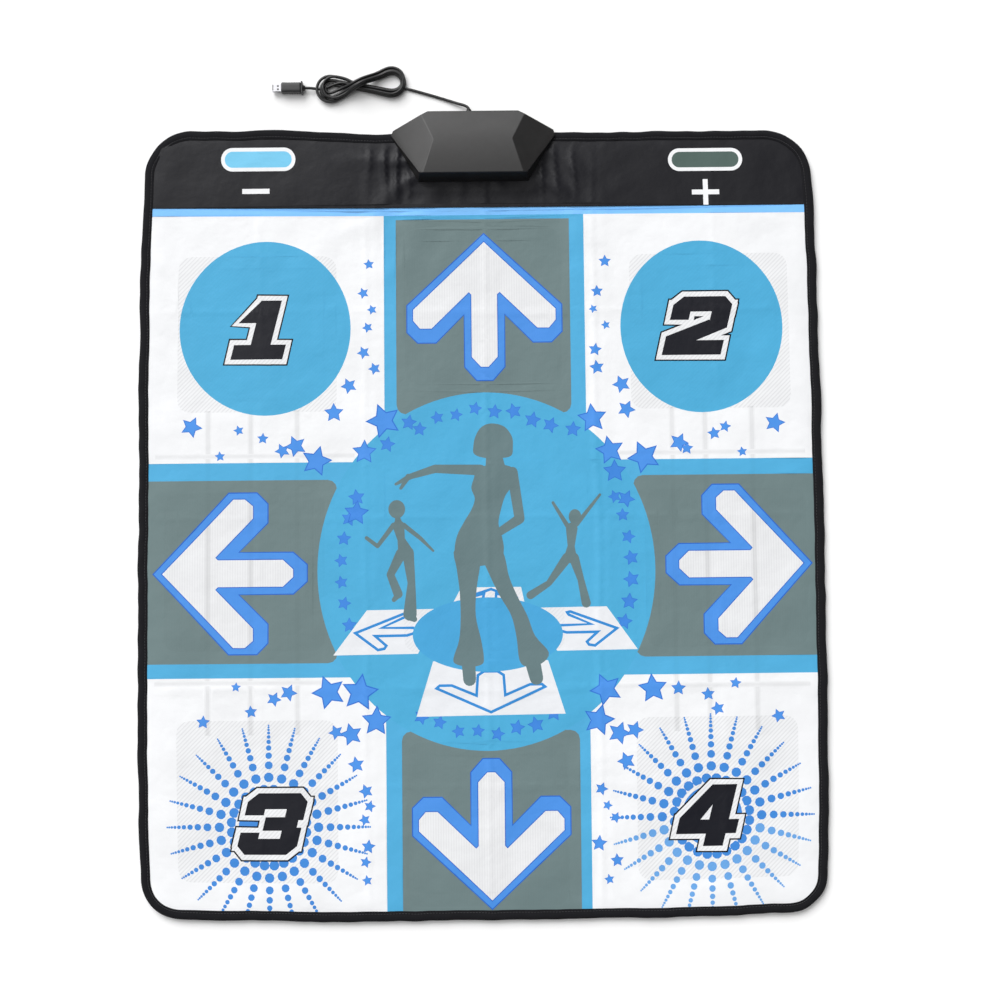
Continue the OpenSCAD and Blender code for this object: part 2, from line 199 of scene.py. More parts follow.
class Nodes:
    """Short calls for building the node tree of a material or the world."""

    def __init__(self, owner):
        self.tree = owner.node_tree

    def add(self, kind, **settings):
        node = self.tree.nodes.new(kind)
        for key, value in settings.items():
            setattr(node, key, value)
        return node

    def link(self, source, target):
        self.tree.links.new(source, target)

    def coords(self, kind="Object"):
        return self.add("ShaderNodeTexCoord").outputs[kind]

    def attribute(self, name, output):
        return self.add("ShaderNodeAttribute", attribute_name=name).outputs[output]

    def noise(self, scale, detail=3.0, roughness=0.5):
        node = self.add("ShaderNodeTexNoise")
        node.inputs["Scale"].default_value = scale
        node.inputs["Detail"].default_value = detail
        node.inputs["Roughness"].default_value = roughness
        self.link(self.coords(), node.inputs["Vector"])
        return node.outputs["Fac"]

    def math(self, operation, a, b=0.0):
        node = self.add("ShaderNodeMath", operation=operation)
        for socket, value in zip(node.inputs, (a, b)):
            if isinstance(value, (int, float)):
                socket.default_value = value
            else:
                self.link(value, socket)
        return node.outputs[0]

    def spread(self, value, low, high, over=(0, 1), curve="LINEAR"):
        """A value that runs over one range turned into one from low to high."""
        node = self.add("ShaderNodeMapRange", interpolation_type=curve)
        node.inputs["From Min"].default_value = over[0]
        node.inputs["From Max"].default_value = over[1]
        node.inputs["To Min"].default_value = low
        node.inputs["To Max"].default_value = high
        self.link(value, node.inputs["Value"])
        return node.outputs["Result"]

    def stripes(self, pitch, angle):
        """Fine parallel lines as a wave from 0 to 1; pitch in metres."""
        turn = self.add("ShaderNodeMapping")
        turn.inputs["Rotation"].default_value = (0, 0, angle)
        self.link(self.coords(), turn.inputs["Vector"])
        split = self.add("ShaderNodeSeparateXYZ")
        self.link(turn.outputs["Vector"], split.inputs["Vector"])
        wave = self.math("SINE", self.math("MULTIPLY", split.outputs["X"], 2 * math.pi / pitch))
        return self.spread(self.math("ADD", self.math("MULTIPLY", wave, 0.5), 0.5), 0.0, 1.0)

    def weave(self, pitch):
        """Threads both ways."""
        return self.math("ADD", self.stripes(pitch, 0.0), self.stripes(pitch, math.pi / 2))

    def brighten(self, colour, factor):
        """A colour made lighter or darker by a factor."""
        node = self.add("ShaderNodeVectorMath", operation="SCALE")
        self.link(colour, node.inputs[0])
        self.link(factor, node.inputs["Scale"])
        return node.outputs["Vector"]

    def bump(self, height, distance, strength=1.0, after=None):
        """Fine relief, laid over an earlier one where one is given."""
        node = self.add("ShaderNodeBump")
        node.inputs["Distance"].default_value = distance
        node.inputs["Strength"].default_value = strength
        self.link(height, node.inputs["Height"])
        if after is not None:
            self.link(after, node.inputs["Normal"])
        return node.outputs["Normal"]


def moulded_plastic(name, base, roughness, grain=0.00004, specular=0.5):
    """Moulded plastic or rubber with a fine etched grain and a little handling wear."""
    material, surface, n = new_material(name, base, roughness, specular=specular)
    n.link(n.spread(n.noise(60, 4), roughness - 0.07, roughness + 0.07), surface.inputs["Roughness"])
    mottled = n.add("ShaderNodeMix", data_type="RGBA")
    mottled.inputs["A"].default_value = (*base, 1)
    mottled.inputs["B"].default_value = (*[c * 1.25 + 0.004 for c in base], 1)
    n.link(n.noise(140, 5), mottled.inputs["Factor"])
    n.link(mottled.outputs["Result"], surface.inputs["Base Color"])
    n.link(n.bump(n.noise(2600, 2), grain), surface.inputs["Normal"])
    return material


def worn_metal(name, base, roughness):
    """Bare metal, duller in places."""
    material, surface, n = new_material(name, base, roughness, metallic=1.0)
    n.link(n.spread(n.noise(420, 4), roughness - 0.08, roughness + 0.12), surface.inputs["Roughness"])
    n.link(n.bump(n.noise(1500, 2), 0.00001), surface.inputs["Normal"])
    return material


def woven_cloth(name, base, pitch, roughness, depth):
    """Plain dark weave, such as the edge tape and the backing."""
    material, surface, n = new_material(name, base, roughness, specular=0.06, sheen=0.02)
    tone = n.spread(n.noise(90, 4), 0.8, 1.3)
    plain = n.add("ShaderNodeRGB")
    plain.outputs[0].default_value = (*base, 1)
    n.link(n.brighten(plain.outputs[0], tone), surface.inputs["Base Color"])
    n.link(n.bump(n.math("ADD", n.weave(pitch), n.noise(2000, 2)), depth), surface.inputs["Normal"])
    return material


# Pitches in metres: hatching of the corner pads, ribs of the cross pads, threads of the cover
HATCH_PITCH = 0.0036
RIB_PITCH = 0.0030
WEAVE_PITCH = 0.0011


def printed_cloth():
    """Coated cloth: printed inks, fine weave, and the switch pads and tracks showing through."""
    material, surface, n = new_material("printed_cloth", (0.8, 0.8, 0.8), 0.4, specular=0.2)
    mottle = n.spread(n.noise(14, 4, 0.55), 0.93, 1.05)
    hidden = n.add("ShaderNodeSeparateColor")
    n.link(n.attribute("shows", "Color"), hidden.inputs["Color"])
    diagonal = n.math("POWER", n.stripes(HATCH_PITCH, math.pi / 4), 2.5)
    upright = n.math("POWER", n.stripes(RIB_PITCH, 0.0), 2.0)
    hatch = n.math("MULTIPLY", hidden.outputs["Red"], n.spread(diagonal, 0.03, 0.17))
    ribs = n.math("MULTIPLY", hidden.outputs["Green"], n.spread(upright, 0.09, 0.16))
    tracks = n.math("MULTIPLY", hidden.outputs["Blue"], 0.13)
    ink_colour = n.attribute("ink", "Color")
    parts = n.add("ShaderNodeSeparateColor")
    n.link(ink_colour, parts.inputs["Color"])
    # dark inks hide what lies beneath, white ink lets it show
    whiteness = n.spread(parts.outputs["Red"], 0.12, 1.12)
    beneath = n.math("MULTIPLY", n.math("ADD", n.math("ADD", hatch, ribs), tracks), whiteness)
    n.link(n.brighten(ink_colour, n.math("SUBTRACT", mottle, beneath)), surface.inputs["Base Color"])
    n.link(n.spread(n.noise(45, 3), 0.34, 0.48), surface.inputs["Roughness"])
    fine = n.bump(n.weave(WEAVE_PITCH), 0.00003, 0.7)
    soft = n.bump(n.noise(320, 3), 0.00025, 0.5, after=fine)
    n.link(n.bump(n.noise(17, 3.5, 0.5), 0.004, 0.6, after=soft), surface.inputs["Normal"])
    return material


# ---------------------------------------------------------------- printed shapes

INKS = {name: linear(colour) for name, colour in {
    "white": "#edeef0", "cyan": "#4fa9d6", "disc": "#4ba8d3", "panel": "#6c7f80", "charcoal": "#17171c",
    "stripe": "#80c2fc", "blue": "#4a8fe1", "line": "#2563c4", "star_line": "#3070cc",
    "ring_star": "#3d84d8", "navy": "#13141d", "black": "#0c0d15", "figure": "#647a7d",
    "tile": "#e4e6ea", "platform": "#45a1d4", "sea_green": "#4f625d", "pale_blue": "#76c5e8",
    "dot": "#3f86d4", "pale_dot": "#68a3e0", "outline": "#3088cf",
}.items()}
# how far the ground colours run on past the mat's sides
BLEED = 5
PRINT_LEFT, PRINT_FRONT = LEFT - BLEED, FRONT - BLEED
PRINT_RIGHT, PRINT_REAR = RIGHT + BLEED, REAR + BLEED
# the middle line of the art, and the large disc's centre and half sizes
ART_X = 5
DISC = (6, -75.5, 200.4, 213)

prints = []


def ink(colour, points):
    """Prints an outline in one of the inks."""
    mark("ink", colour, points)


def mark(kind, value, points):
    """Notes what lies inside an outline; where two of a kind overlap, the later one counts."""
    prints.append((kind, value, points))


def polar(cx, cy, r, a):
    """The place at distance r and angle a from a centre."""
    return cx + r * math.cos(a), cy + r * math.sin(a)


def ellipse(cx, cy, rx, ry, n=48):
    angles = [2 * math.pi * i / n for i in range(n)]
    return [(cx + rx * math.cos(a), cy + ry * math.sin(a)) for a in angles]


def rectangle(x0, y0, x1, y1):
    return [(x0, y0), (x1, y0), (x1, y1), (x0, y1)]


def rounded(x0, y0, x1, y1, r, n=8):
    """A rectangle with round corners."""
    points = []
    centres = rectangle(x0 + r, y0 + r, x1 - r, y1 - r)
    for quarter, (cx, cy) in enumerate(centres[2:] + centres[:2]):
        points += [polar(cx, cy, r, math.pi / 2 * (quarter + i / n)) for i in range(n + 1)]
    return points


def star(cx, cy, r, turn):
    """A five-pointed star."""
    angles = [math.radians(turn + 90 + 36 * i) for i in range(10)]
    return [polar(cx, cy, r if i % 2 == 0 else r * 0.5, a) for i, a in enumerate(angles)]


def area2(points):
    """Twice the enclosed area, negative for a clockwise outline."""
    return sum(a[0] * b[1] - b[0] * a[1] for a, b in zip(points, points[1:] + points[:1]))


def grow(points, d, longest=1.6):
    """An outline moved outwards by d, with its corners kept sharp up to a limit."""
    if area2(points) < 0:
        points = points[::-1]
    grown = []
    for i, p in enumerate(points):
        a, b = Vector(points[i - 1]), Vector(points[(i + 1) % len(points)])
        p = Vector(p)
        into, out = (p - a).normalized(), (b - p).normalized()
        n1, n2 = Vector((into.y, -into.x)), Vector((out.y, -out.x))
        middle = (n1 + n2).normalized()
        reach = min(1 / max(middle.dot(n1), 0.2), longest)
        grown.append(tuple(p + middle * d * reach))
    return grown


def limb(p, q, r1, r2, n=7):
    """A tapered round-ended bar from p to q."""
    p, q = Vector(p), Vector(q)
    along = math.atan2(q.y - p.y, q.x - p.x)
    points = []
    for centre, r, start in ((q, r2, along - math.pi / 2), (p, r1, along + math.pi / 2)):
        points += [polar(*centre, r, start + math.pi * i / n) for i in range(n + 1)]
    return points


def placed(points, at, turn=0.0, scale=(1, 1), lean=0.0):
    """An outline scaled, leaned, turned and moved to a place."""
    c, s = math.cos(math.radians(turn)), math.sin(math.radians(turn))
    result = []
    for x, y in points:
        x, y = x * scale[0] + lean * y, y * scale[1]
        result.append((at[0] + c * x - s * y, at[1] + s * x + c * y))
    return result


def mirrored(half):
    """A closed outline from its right half, listed from the middle line back to it."""
    return half + [(-x, y) for x, y in reversed(half) if abs(x) > 1e-6]


ARROW_BORDER = mirrored([
    (0, 0), (92.5, -86.5), (92.5, -119), (80, -131.5), (58.5, -131.5), (24, -97),
    (23.5, -161.5), (9.5, -177.5),
])
ARROW_FILL = mirrored([
    (0, -9.5), (85.5, -91.5), (85.5, -105), (77.5, -114.5), (63.5, -114.5), (18.5, -70.5), (15.5, -73.5),
    (15.5, -149.5), (4.5, -161.5),
])
ARROW_SIZE = (185, 177.5)


def draw_arrow(tip, turn, size):
    """A white arrow with a wide blue border; turn is in degrees from pointing to the rear."""
    scale = [wanted / own for wanted, own in zip(size, ARROW_SIZE)]
    for shape, edge, fill in ((ARROW_BORDER, 1.3, "blue"), (ARROW_FILL, 1.0, "white")):
        ink("line", placed(grow(shape, edge), tip, turn, scale))
        ink(fill, placed(shape, tip, turn, scale))


# Block numerals on a field 1 wide and 1 high, each as a set of convex bars
TOP_BAR = [(0, 0.74), (1, 0.74), (1, 0.86), (0.85, 1), (0.15, 1), (0, 0.86)]
NUMERALS = {
    "1": [
        rectangle(0.36, 0, 0.7, 1), rectangle(0.08, 0, 0.96, 0.25),
        [(0.06, 0.62), (0.4, 0.62), (0.4, 1), (0.36, 1)],
    ],
    "2": [
        TOP_BAR, rectangle(0, 0.6, 0.32, 0.86), rectangle(0.68, 0.5, 1, 0.86), rectangle(0, 0, 1, 0.25),
        [(0, 0.2), (0.42, 0.2), (1, 0.46), (1, 0.6), (0.66, 0.6), (0, 0.32)],
    ],
    "3": [
        TOP_BAR, [(x, 1 - y) for x, y in TOP_BAR],
        rectangle(0, 0.64, 0.32, 0.86), rectangle(0, 0.14, 0.32, 0.36),
        rectangle(0.68, 0.56, 1, 0.86), rectangle(0.68, 0.14, 1, 0.44), rectangle(0.36, 0.39, 0.92, 0.61),
    ],
    "4": [
        rectangle(0.5, 0, 0.83, 1), rectangle(0, 0.2, 1, 0.43),
        [(0, 0.34), (0.3, 0.34), (0.7, 1), (0.42, 1), (0, 0.46)],
    ],
}


def draw_numeral(figure, middle):
    """A leaning numeral with a white border and a black outline."""
    width, height, lean = 70, 71, 0.25
    corner = (middle[0] - (width + lean * height) / 2, middle[1] - height / 2)
    for extra, colour in ((7.8, "black"), (6, "white"), (0, "navy")):
        for bar in NUMERALS[figure]:
            shape = placed([(x * width, y * height) for x, y in bar], corner, lean=lean)
            ink(colour, grow(shape, extra, 1.45) if extra else shape)


def draw_star(x, y, r, fill):
    """A star with a darker edge, turned a little by where it lies."""
    turn = 25 * math.sin(x * 0.31 + y * 0.17)
    ink("star_line", star(x, y, r * 1.12, turn))
    ink(fill, star(x, y, r * 0.96, turn))


# Trails of stars for the rear and front quadrants, mirrored about the middle of the art: x, y, radius
REAR_TRAIL = [
    (142, 295, 6.5), (138, 264, 7), (136, 237, 5.5), (141, 213, 5.5), (138, 190, 7), (136, 171, 7.5),
    (160, 143, 10), (176, 112, 11), (126, 109, 18), (343, 100, 11), (292, 89, 6), (268, 84, 7),
    (308, 68, 6), (244, 68, 8), (226, 70, 11), (195, 59, 17), (149, 71, 15),
]
FRONT_TRAIL = [
    (128, -256, 18), (147, -222, 20), (192, -214, 17), (155, -266, 12), (179, -270, 9), (158, -304, 10),
    (137, -329, 8), (143, -352, 6), (145, -372, 6), (136, -396, 8), (150, -411, 7), (139, -439, 6),
    (232, -222, 9), (256, -222, 7.5), (272, -238, 7), (297, -216, 6), (336, -254, 8),
]
# Single stars on the disc
DISC_STARS = [(-153, -6, 14), (155, 41, 13), (168, 8, 10), (-116, 76, 9), (106, 92, 9), (-90, 102, 9)]


def draw_stars():
    """The trails of stars in the quadrants, and the stars on the disc."""
    for side in (-1, 1):
        for i, (x, y, r) in enumerate(REAR_TRAIL + FRONT_TRAIL):
            x += 6 * math.sin(2.3 * i + side)
            y += 5 * math.sin(1.7 * i + 3 * side)
            draw_star(ART_X + side * x, y, r * (1 + 0.1 * math.sin(5.1 * i + side)), "blue")
    # a ring of smaller stars just inside the disc's rim, in four runs
    for quarter in range(4):
        for i in range(8):
            a = math.radians(90 * quarter + 54 * (i / 7) - 27)
            x = DISC[0] + (DISC[2] - 28) * math.cos(a)
            y = DISC[1] + (DISC[3] - 19 - 4 * (i % 2)) * math.sin(a)
            draw_star(x, y, 8.4 + math.sin(7 * i + quarter), "ring_star")
    for x, y, r in DISC_STARS:
        draw_star(ART_X + x, y, r, "ring_star")


def draw_burst(cx, cy, faded_below):
    """Rays of dots that shrink outwards, round a spotted ring and a plain middle."""
    rays = 24
    turn = 2 * math.pi / rays
    for ray in range(rays):
        colour = "pale_dot" if faded_below and math.sin(turn * ray) < -0.2 else "dot"
        reach, gap, r = 58, 14, 5.7
        while r > 0.9:
            ink(colour, ellipse(*polar(cx, cy, reach, turn * ray), r, r, 10))
            reach, gap, r = reach + gap, gap * 0.8, r * 0.83
    for ray in range(rays):
        ink("dot", ellipse(*polar(cx, cy, 44, turn * (ray + 0.5)), 5.9, 5.9, 10))
    ink("white", ellipse(cx, cy, 39.5, 39.5))
    ink("dot", ellipse(cx, cy, 35.5, 35.5))


def draw_limbs(limbs):
    """Tapered bars, each given as two places and two half widths."""
    for p, q, r1, r2 in limbs:
        ink("figure", limb(p, q, r1, r2))


def between_four(p0, p1, p2, p3, t):
    """A point on the smooth curve that runs from p1 to p2, with a neighbour on each side."""
    return 0.5 * (2 * p1 + (p2 - p0) * t + (2 * p0 - 5 * p1 + 4 * p2 - p3) * t * t
                  + (3 * p1 - p0 - 3 * p2 + p3) * t ** 3)


def soft_shape(points):
    """A smooth closed outline through the points."""
    n = len(points)
    smooth = []
    for i in range(n):
        near = [Vector(points[(i + k) % n]) for k in (-1, 0, 1, 2)]
        smooth += [tuple(between_four(*near, step / 4)) for step in range(4)]
    return smooth


def draw_tall_dancer():
    """A plain figure with one arm out, a hand on the hip and wide trousers."""
    torso = [
        (-4, 45), (10, 50), (28, 50), (40, 45), (43, 34), (36, 22), (29, 12), (24, -4), (21, -20),
        (25, -36),
        (27, -52), (22, -66), (6, -70), (-20, -70), (-31, -56), (-29, -36), (-20, -18), (-11, -3),
        (-7, 10),
        (-11, 22), (-8, 34),
    ]
    near_leg = [
        (-31, -50), (-29, -75), (-26, -100), (-25, -130), (-27, -158), (-34, -180), (-30, -187),
        (-14, -190),
        (0, -187), (2, -178), (-1, -158), (-7, -130), (-6, -100), (-1, -68), (0, -50),
    ]
    far_leg = [
        (0, -54), (10, -82), (22, -107), (35, -130), (41, -156), (44, -182), (52, -190),
        (70, -187), (79, -174),
        (63, -154), (54, -130), (43, -108), (33, -84), (28, -60), (20, -48),
    ]
    hair = [
        (14, 100), (29, 96), (38, 84), (39, 72), (37, 61), (24, 58), (8, 58), (-7, 63), (-8, 74), (-5, 86),
        (2, 96),
    ]
    for shape in (torso, near_leg, far_leg, hair):
        ink("figure", soft_shape(shape))
    draw_limbs([
        ((16, 64), (18, 46), 9, 12), ((0, 44), (-54, 46), 6.5, 5), ((-54, 46), (-84, 37), 5, 3.4),
        ((-84, 37), (-101, 28), 3.6, 1.6), ((-86, 37), (-95, 23), 3.4, 1.8), ((38, 41), (46, -14), 6.5, 6),
        ((46, -15), (18, -33), 6, 4.5), ((-16, -188), (-15, -205), 8, 7.5), ((60, -186), (64, -204), 9, 8),
    ])


def draw_small_dancers():
    """Two plain figures in the distance: one hopping, one with arms and legs flung out."""
    ink("figure", ellipse(-100, -2, 10, 11, 24))
    ink("figure", ellipse(112, -13, 7.5, 9, 24))
    draw_limbs([
        ((-99, -12), (-98, -20), 3, 5), ((-98, -22), (-95, -38), 7, 4.5), ((-95, -38), (-90, -53), 4.5, 9),
        ((-104, -21), (-123, -46), 3, 2.4), ((-123, -46), (-136, -36), 2.4, 2.2),
        ((-92, -21), (-72, -37), 3, 2.4), ((-72, -37), (-57, -52), 2.4, 1.4),
        ((-87, -54), (-83, -90), 7, 4.6), ((-83, -90), (-85, -127), 4.6, 8),
        ((-85, -129), (-80, -133), 6, 3.5),
        ((-95, -55), (-108, -80), 6.5, 4.5), ((-108, -80), (-99, -103), 4.5, 5.5),
        ((-99, -104), (-104, -110), 4, 2.6),
        ((110, -20), (109, -26), 3, 4), ((108, -27), (107, -48), 7, 4.2),
        ((107, -48), (106, -61), 4.2, 7.5),
        ((103, -24), (86, 4), 2.8, 1.7), ((114, -22), (142, 13), 2.8, 1.5),
        ((102, -62), (80, -92), 6, 3.6),
        ((80, -92), (58, -106), 3.6, 4.8), ((110, -62), (118, -88), 6, 4),
        ((118, -88), (124, -116), 4, 5.4),
    ])


def in_perspective(points, corners):
    """Points of a unit square mapped into a tile: near left, near right, far right, far left."""
    a, b, c, d = [Vector(p) for p in corners]
    result = []
    for u, v in points:
        near, far = a.lerp(b, u), d.lerp(c, u)
        result.append(tuple(near.lerp(far, v)))
    return result


# Simple outlined arrow on a unit square, pointing to v = 1
SMALL_ARROW = [(0.5 + x, y) for x, y in mirrored([
    (0, 0.97), (0.43, 0.5), (0.4, 0.42), (0.3, 0.42), (0.115, 0.6), (0.115, 0.25), (0.06, 0.17),
])]


def draw_tile(corners, turn):
    """A pale floor tile with an outlined arrow."""
    ink("tile", list(corners))
    turned = placed([(u - 0.5, v - 0.5) for u, v in SMALL_ARROW], (0.5, 0.5), turn)
    arrow = in_perspective(turned, corners)
    ink("outline", arrow)
    ink("tile", grow(arrow, -3.2, 3.0))


def draw_centre():
    """The dancers on their round platform, with a tile on each side of it."""
    draw_tile([(-78, -248), (98, -246), (78, -183), (-58, -183)], 180)
    draw_tile([(-176, -175), (-76, -174), (-46, -121), (-136, -122)], 90)
    draw_tile([(89, -172), (184, -171), (148, -120), (57, -121)], -90)
    draw_tile([(-37, -120), (52, -120), (47, -96), (-24, -96)], 0)
    ink("platform", ellipse(7, -152, 89, 44, 64))
    draw_tall_dancer()
    draw_small_dancers()


def draw_ground():
    """White cloth, a blue cross with cut inner corners, a grey panel on each arm and the large disc."""
    ink("white", rectangle(PRINT_LEFT, PRINT_FRONT, PRINT_RIGHT, PRINT_REAR))
    left, front, right, rear = -114, -201, 127, 55
    chamfer = 24
    ink("cyan", rectangle(left, PRINT_FRONT, right, 354))
    ink("cyan", rectangle(PRINT_LEFT, front, PRINT_RIGHT, rear))
    for y, sy in ((rear, 1), (front, -1)):
        for x, sx in ((left, -1), (right, 1)):
            ink("cyan", [(x, y), (x + sx * chamfer, y), (x, y + sy * chamfer)])
    cut = 11
    ink("panel", rounded(-99.5, 112, 109.5, 200, cut, 3))
    ink("panel", rectangle(-99.5, 140, 109.5, 348.5))
    ink("panel", rounded(-95.5, PRINT_FRONT, 114.5, -265, cut, 3))
    ink("panel", rounded(PRINT_LEFT, -184, -171, 34, cut, 3))
    ink("panel", rounded(182, -180, PRINT_RIGHT, 36, cut, 3))
    ink("disc", ellipse(*DISC, 120))


def draw_header():
    """The dark strip at the rear, with the two buttons and their signs."""
    ink("stripe", rectangle(PRINT_LEFT, 353.5, PRINT_RIGHT, 363.5))
    ink("charcoal", rectangle(PRINT_LEFT, 363, PRINT_RIGHT, PRINT_REAR))
    for sign, fill in ((-1, "pale_blue"), (1, "sea_green")):
        x, y = ART_X + sign * 271, 420 - sign * 0.5
        ink("white", rounded(x - 45, y - 14, x + 45, y + 14, 13.8, 10))
        ink(fill, rounded(x - 40.5, y - 9.6, x + 40.5, y + 9.6, 9.4, 10))
    ink("white", rectangle(ART_X - 290, 379.5, ART_X - 257, 385.5))
    ink("white", rectangle(ART_X + 254, 376.5, ART_X + 287, 382.5))
    ink("white", rectangle(ART_X + 267.5, 363.8, ART_X + 273.5, 395.2))


def draw_cover():
    """Every print, in the order in which the inks lie on each other."""
    draw_ground()
    ink("disc", ellipse(-255.5, 216.5, 101.5, 105, 72))
    ink("disc", ellipse(265.5, 215.5, 96, 104.5, 72))
    draw_burst(-252, -375, False)
    draw_burst(268, -367, True)
    for figure, middle in (("1", (-259, 215)), ("2", (262, 216)), ("3", (-248, -371)), ("4", (266, -366))):
        draw_numeral(figure, middle)
    draw_arrow((6.5, 330), 0, (185, 177.5))
    draw_arrow((9.5, -469), 180, (185, 171))
    draw_arrow((-385, -77), 90, (191, 178))
    draw_arrow((388, -71), -90, (189, 168.5))
    draw_stars()
    draw_centre()
    draw_header()


# ---------------------------------------------------------------- the cloth's form

def outline(inset, step=6.0):
    """The mat's outline as evenly spaced points, counter-clockwise from the front right corner."""
    half, front, rear = RIGHT - inset, FRONT + inset, REAR - inset
    points = []
    for x, y, radius, start in (
        (half, front, FRONT_CORNER, -90), (half, rear, REAR_CORNER, 0),
        (-half, rear, REAR_CORNER, 90), (-half, front, FRONT_CORNER, 180),
    ):
        r = radius - inset
        cx, cy = x - math.copysign(r, x), y - math.copysign(r, y)
        n = max(6, round(r * math.pi / 2 / step))
        arc = [polar(cx, cy, r, math.radians(start + 90 * i / n)) for i in range(n + 1)]
        if points:
            points += between(points[-1], arc[0], step)
        points += arc
    points += between(points[-1], points[0], step)
    return points


def between(p, q, step):
    """Points strictly between p and q, evenly spaced."""
    length = math.dist(p, q)
    n = max(1, round(length / step))
    return [(p[0] + (q[0] - p[0]) * i / n, p[1] + (q[1] - p[1]) * i / n) for i in range(1, n)]


def soft_noise(x, y, wavelength, seed):
    """Smooth random values, about -1 to 1, that change over the wavelength."""
    return noise.noise(Vector((x / wavelength, y / wavelength, seed)))


def settled(x, y):
    """Where a point of the flat pattern lies: the edges bow a little, as soft cloth does."""
    bow = 6 * max(0.0, 1 - ((y + 20) / 420) ** 4)
    dx = bow * (math.exp(-(RIGHT - x) / 110) - math.exp(-(x - LEFT) / 110))
    share = max(0.0, min(1.0, (-x - 120) / 120))
    rear_bow = 6 * share * share * (3 - 2 * share)
    front_bow = -4.5 * max(0.0, 1 - (x / 340) ** 4)
    dy = rear_bow * math.exp(-(REAR - y) / 110) + front_bow * math.exp(-(y - FRONT) / 110)
    return x + dx, y + dy


def in_place(x, y, z):
    """A point of the flat pattern, settled and turned into metres."""
    x, y = settled(x, y)
    return x * MM, y * MM, z * MM


def edge_distance(x, y):
    """Distance in from the mat's straight sides, in millimetres."""
    return min(x - LEFT, RIGHT - x, y - FRONT, REAR - y)


def crease(distance, width):
    """A soft ridge: 1 on its line, falling away to each side."""
    return math.exp(-(distance / width) ** 2)


# Places and strengths of the old fold lines, of which some run front to rear and some left to right
FOLDS_AT_X = [(9, 0.8), (-137, 0.55), (139, 0.8), (-262, 0.35), (283, 0.35)]
FOLDS_AT_Y = [(236, 0.4), (-12, 0.4), (-216, 0.5), (-330, 0.3)]
# Places beside the box's middle, and strengths, of the upright creases
BOX_CREASES = [(-80, 2.2), (-93, 3.4), (-108, 2.4), (-128, 1.3), (82, 1.8), (99, 2.6), (121, 1.4)]


def lift(x, y):
    """How far the cloth stands above its flat height, in millimetres."""
    wander = 5 * soft_noise(x, y, 150, 7.7)
    height = 0.9 + 0.9 * soft_noise(x, y, 130, 1.5) + 0.45 * soft_noise(x, y, 46, 4.1)
    # old fold lines, as low ridges that wander a little
    for place, strength in FOLDS_AT_X:
        height += strength * (0.7 + 0.6 * soft_noise(x, y, 90, place)) * crease(x - place - wander, 4.0)
        height += 0.35 * strength * crease(x - place - wander - 11, 7.0)
    for place, strength in FOLDS_AT_Y:
        height += strength * (0.7 + 0.6 * soft_noise(x, y, 90, place)) * crease(y - place - wander, 4.5)
    # puckers that run out from the control box, where it clamps the cloth
    dx, dy = x - BOX_X, y - 425
    away = math.hypot(max(abs(dx) - 62, 0), max(-dy - 22, 0))
    angle = math.atan2(dy - 25, dx)
    ripple = (0.5 + 0.5 * math.sin(17 * angle + 3.2 * soft_noise(x, y, 60, 2.2))) ** 1.6
    ripple *= 0.65 + 0.7 * soft_noise(x, y, 45, 9.1)
    beside = 0.2 + 0.8 * min(1.0, max(0.0, (abs(dx) - 40) / 45))
    height += 6.5 * beside * max(ripple, 0) * math.exp(-away / 60) * (1 - math.exp(-away / 8))
    # upright creases close beside the box
    for place, strength in BOX_CREASES:
        across = dx - place - 3 * soft_noise(x, y, 40, place)
        strength *= 0.8 + 0.8 * soft_noise(x, y, 35, place)
        height += strength * crease(across, 3.6) * crease(y - 418, 38)
    # the clamp plate presses up under the cloth in front of the box
    plate = min(78 - abs(dx), y - 380)
    height += 1.3 / (1 + math.exp(-plate / 1.6))
    # small gathers along the sewn edge, and the pull down under the tape
    inside = edge_distance(x, y) - 9
    gather = 0.5 + 0.5 * math.sin((x + y) / 5.2 + 4 * soft_noise(x, y, 70, 5.5))
    height += 0.5 * gather * math.exp(-max(inside, 0) / 24)
    hold = 1 - math.exp(-max(inside, 0) / 11)
    return max(height, 0) * hold


def slope_normal(x, y):
    """The direction that the raised cloth faces."""
    step = 0.8
    sx = (lift(x + step, y) - lift(x - step, y)) / (2 * step)
    sy = (lift(x, y + step) - lift(x, y - step)) / (2 * step)
    return Vector((-sx, -sy, 1)).normalized()


def zone_boxes():
    """Each moving zone's name, box in millimetres and width of its edge strip."""
    names = [("pad_" + name, PAD_BEND) for name in STEP_PADS]
    names += [("button_" + name, BUTTON_BEND) for name in BUTTONS]
    zones = []
    for name, bend in names:
        low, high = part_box(name)
        zones.append((name, [v / MM for v in (low[0], low[1], high[0], high[1])], bend))
    return zones


SIDES = ("front", "right", "rear", "left")


def mark_zones():
    """Splits each zone into a middle that sinks and four mitred strips round it."""
    for name, (x0, y0, x1, y1), edge in zone_boxes():
        outer = rectangle(x0, y0, x1, y1)
        inner = rectangle(x0 + edge, y0 + edge, x1 - edge, y1 - edge)
        mark("piece", name + "_cloth", inner)
        for i, side in enumerate(SIDES):
            j = (i + 1) % 4
            mark("piece", f"{name}_{side}_bend", [outer[i], outer[j], inner[j], inner[i]])


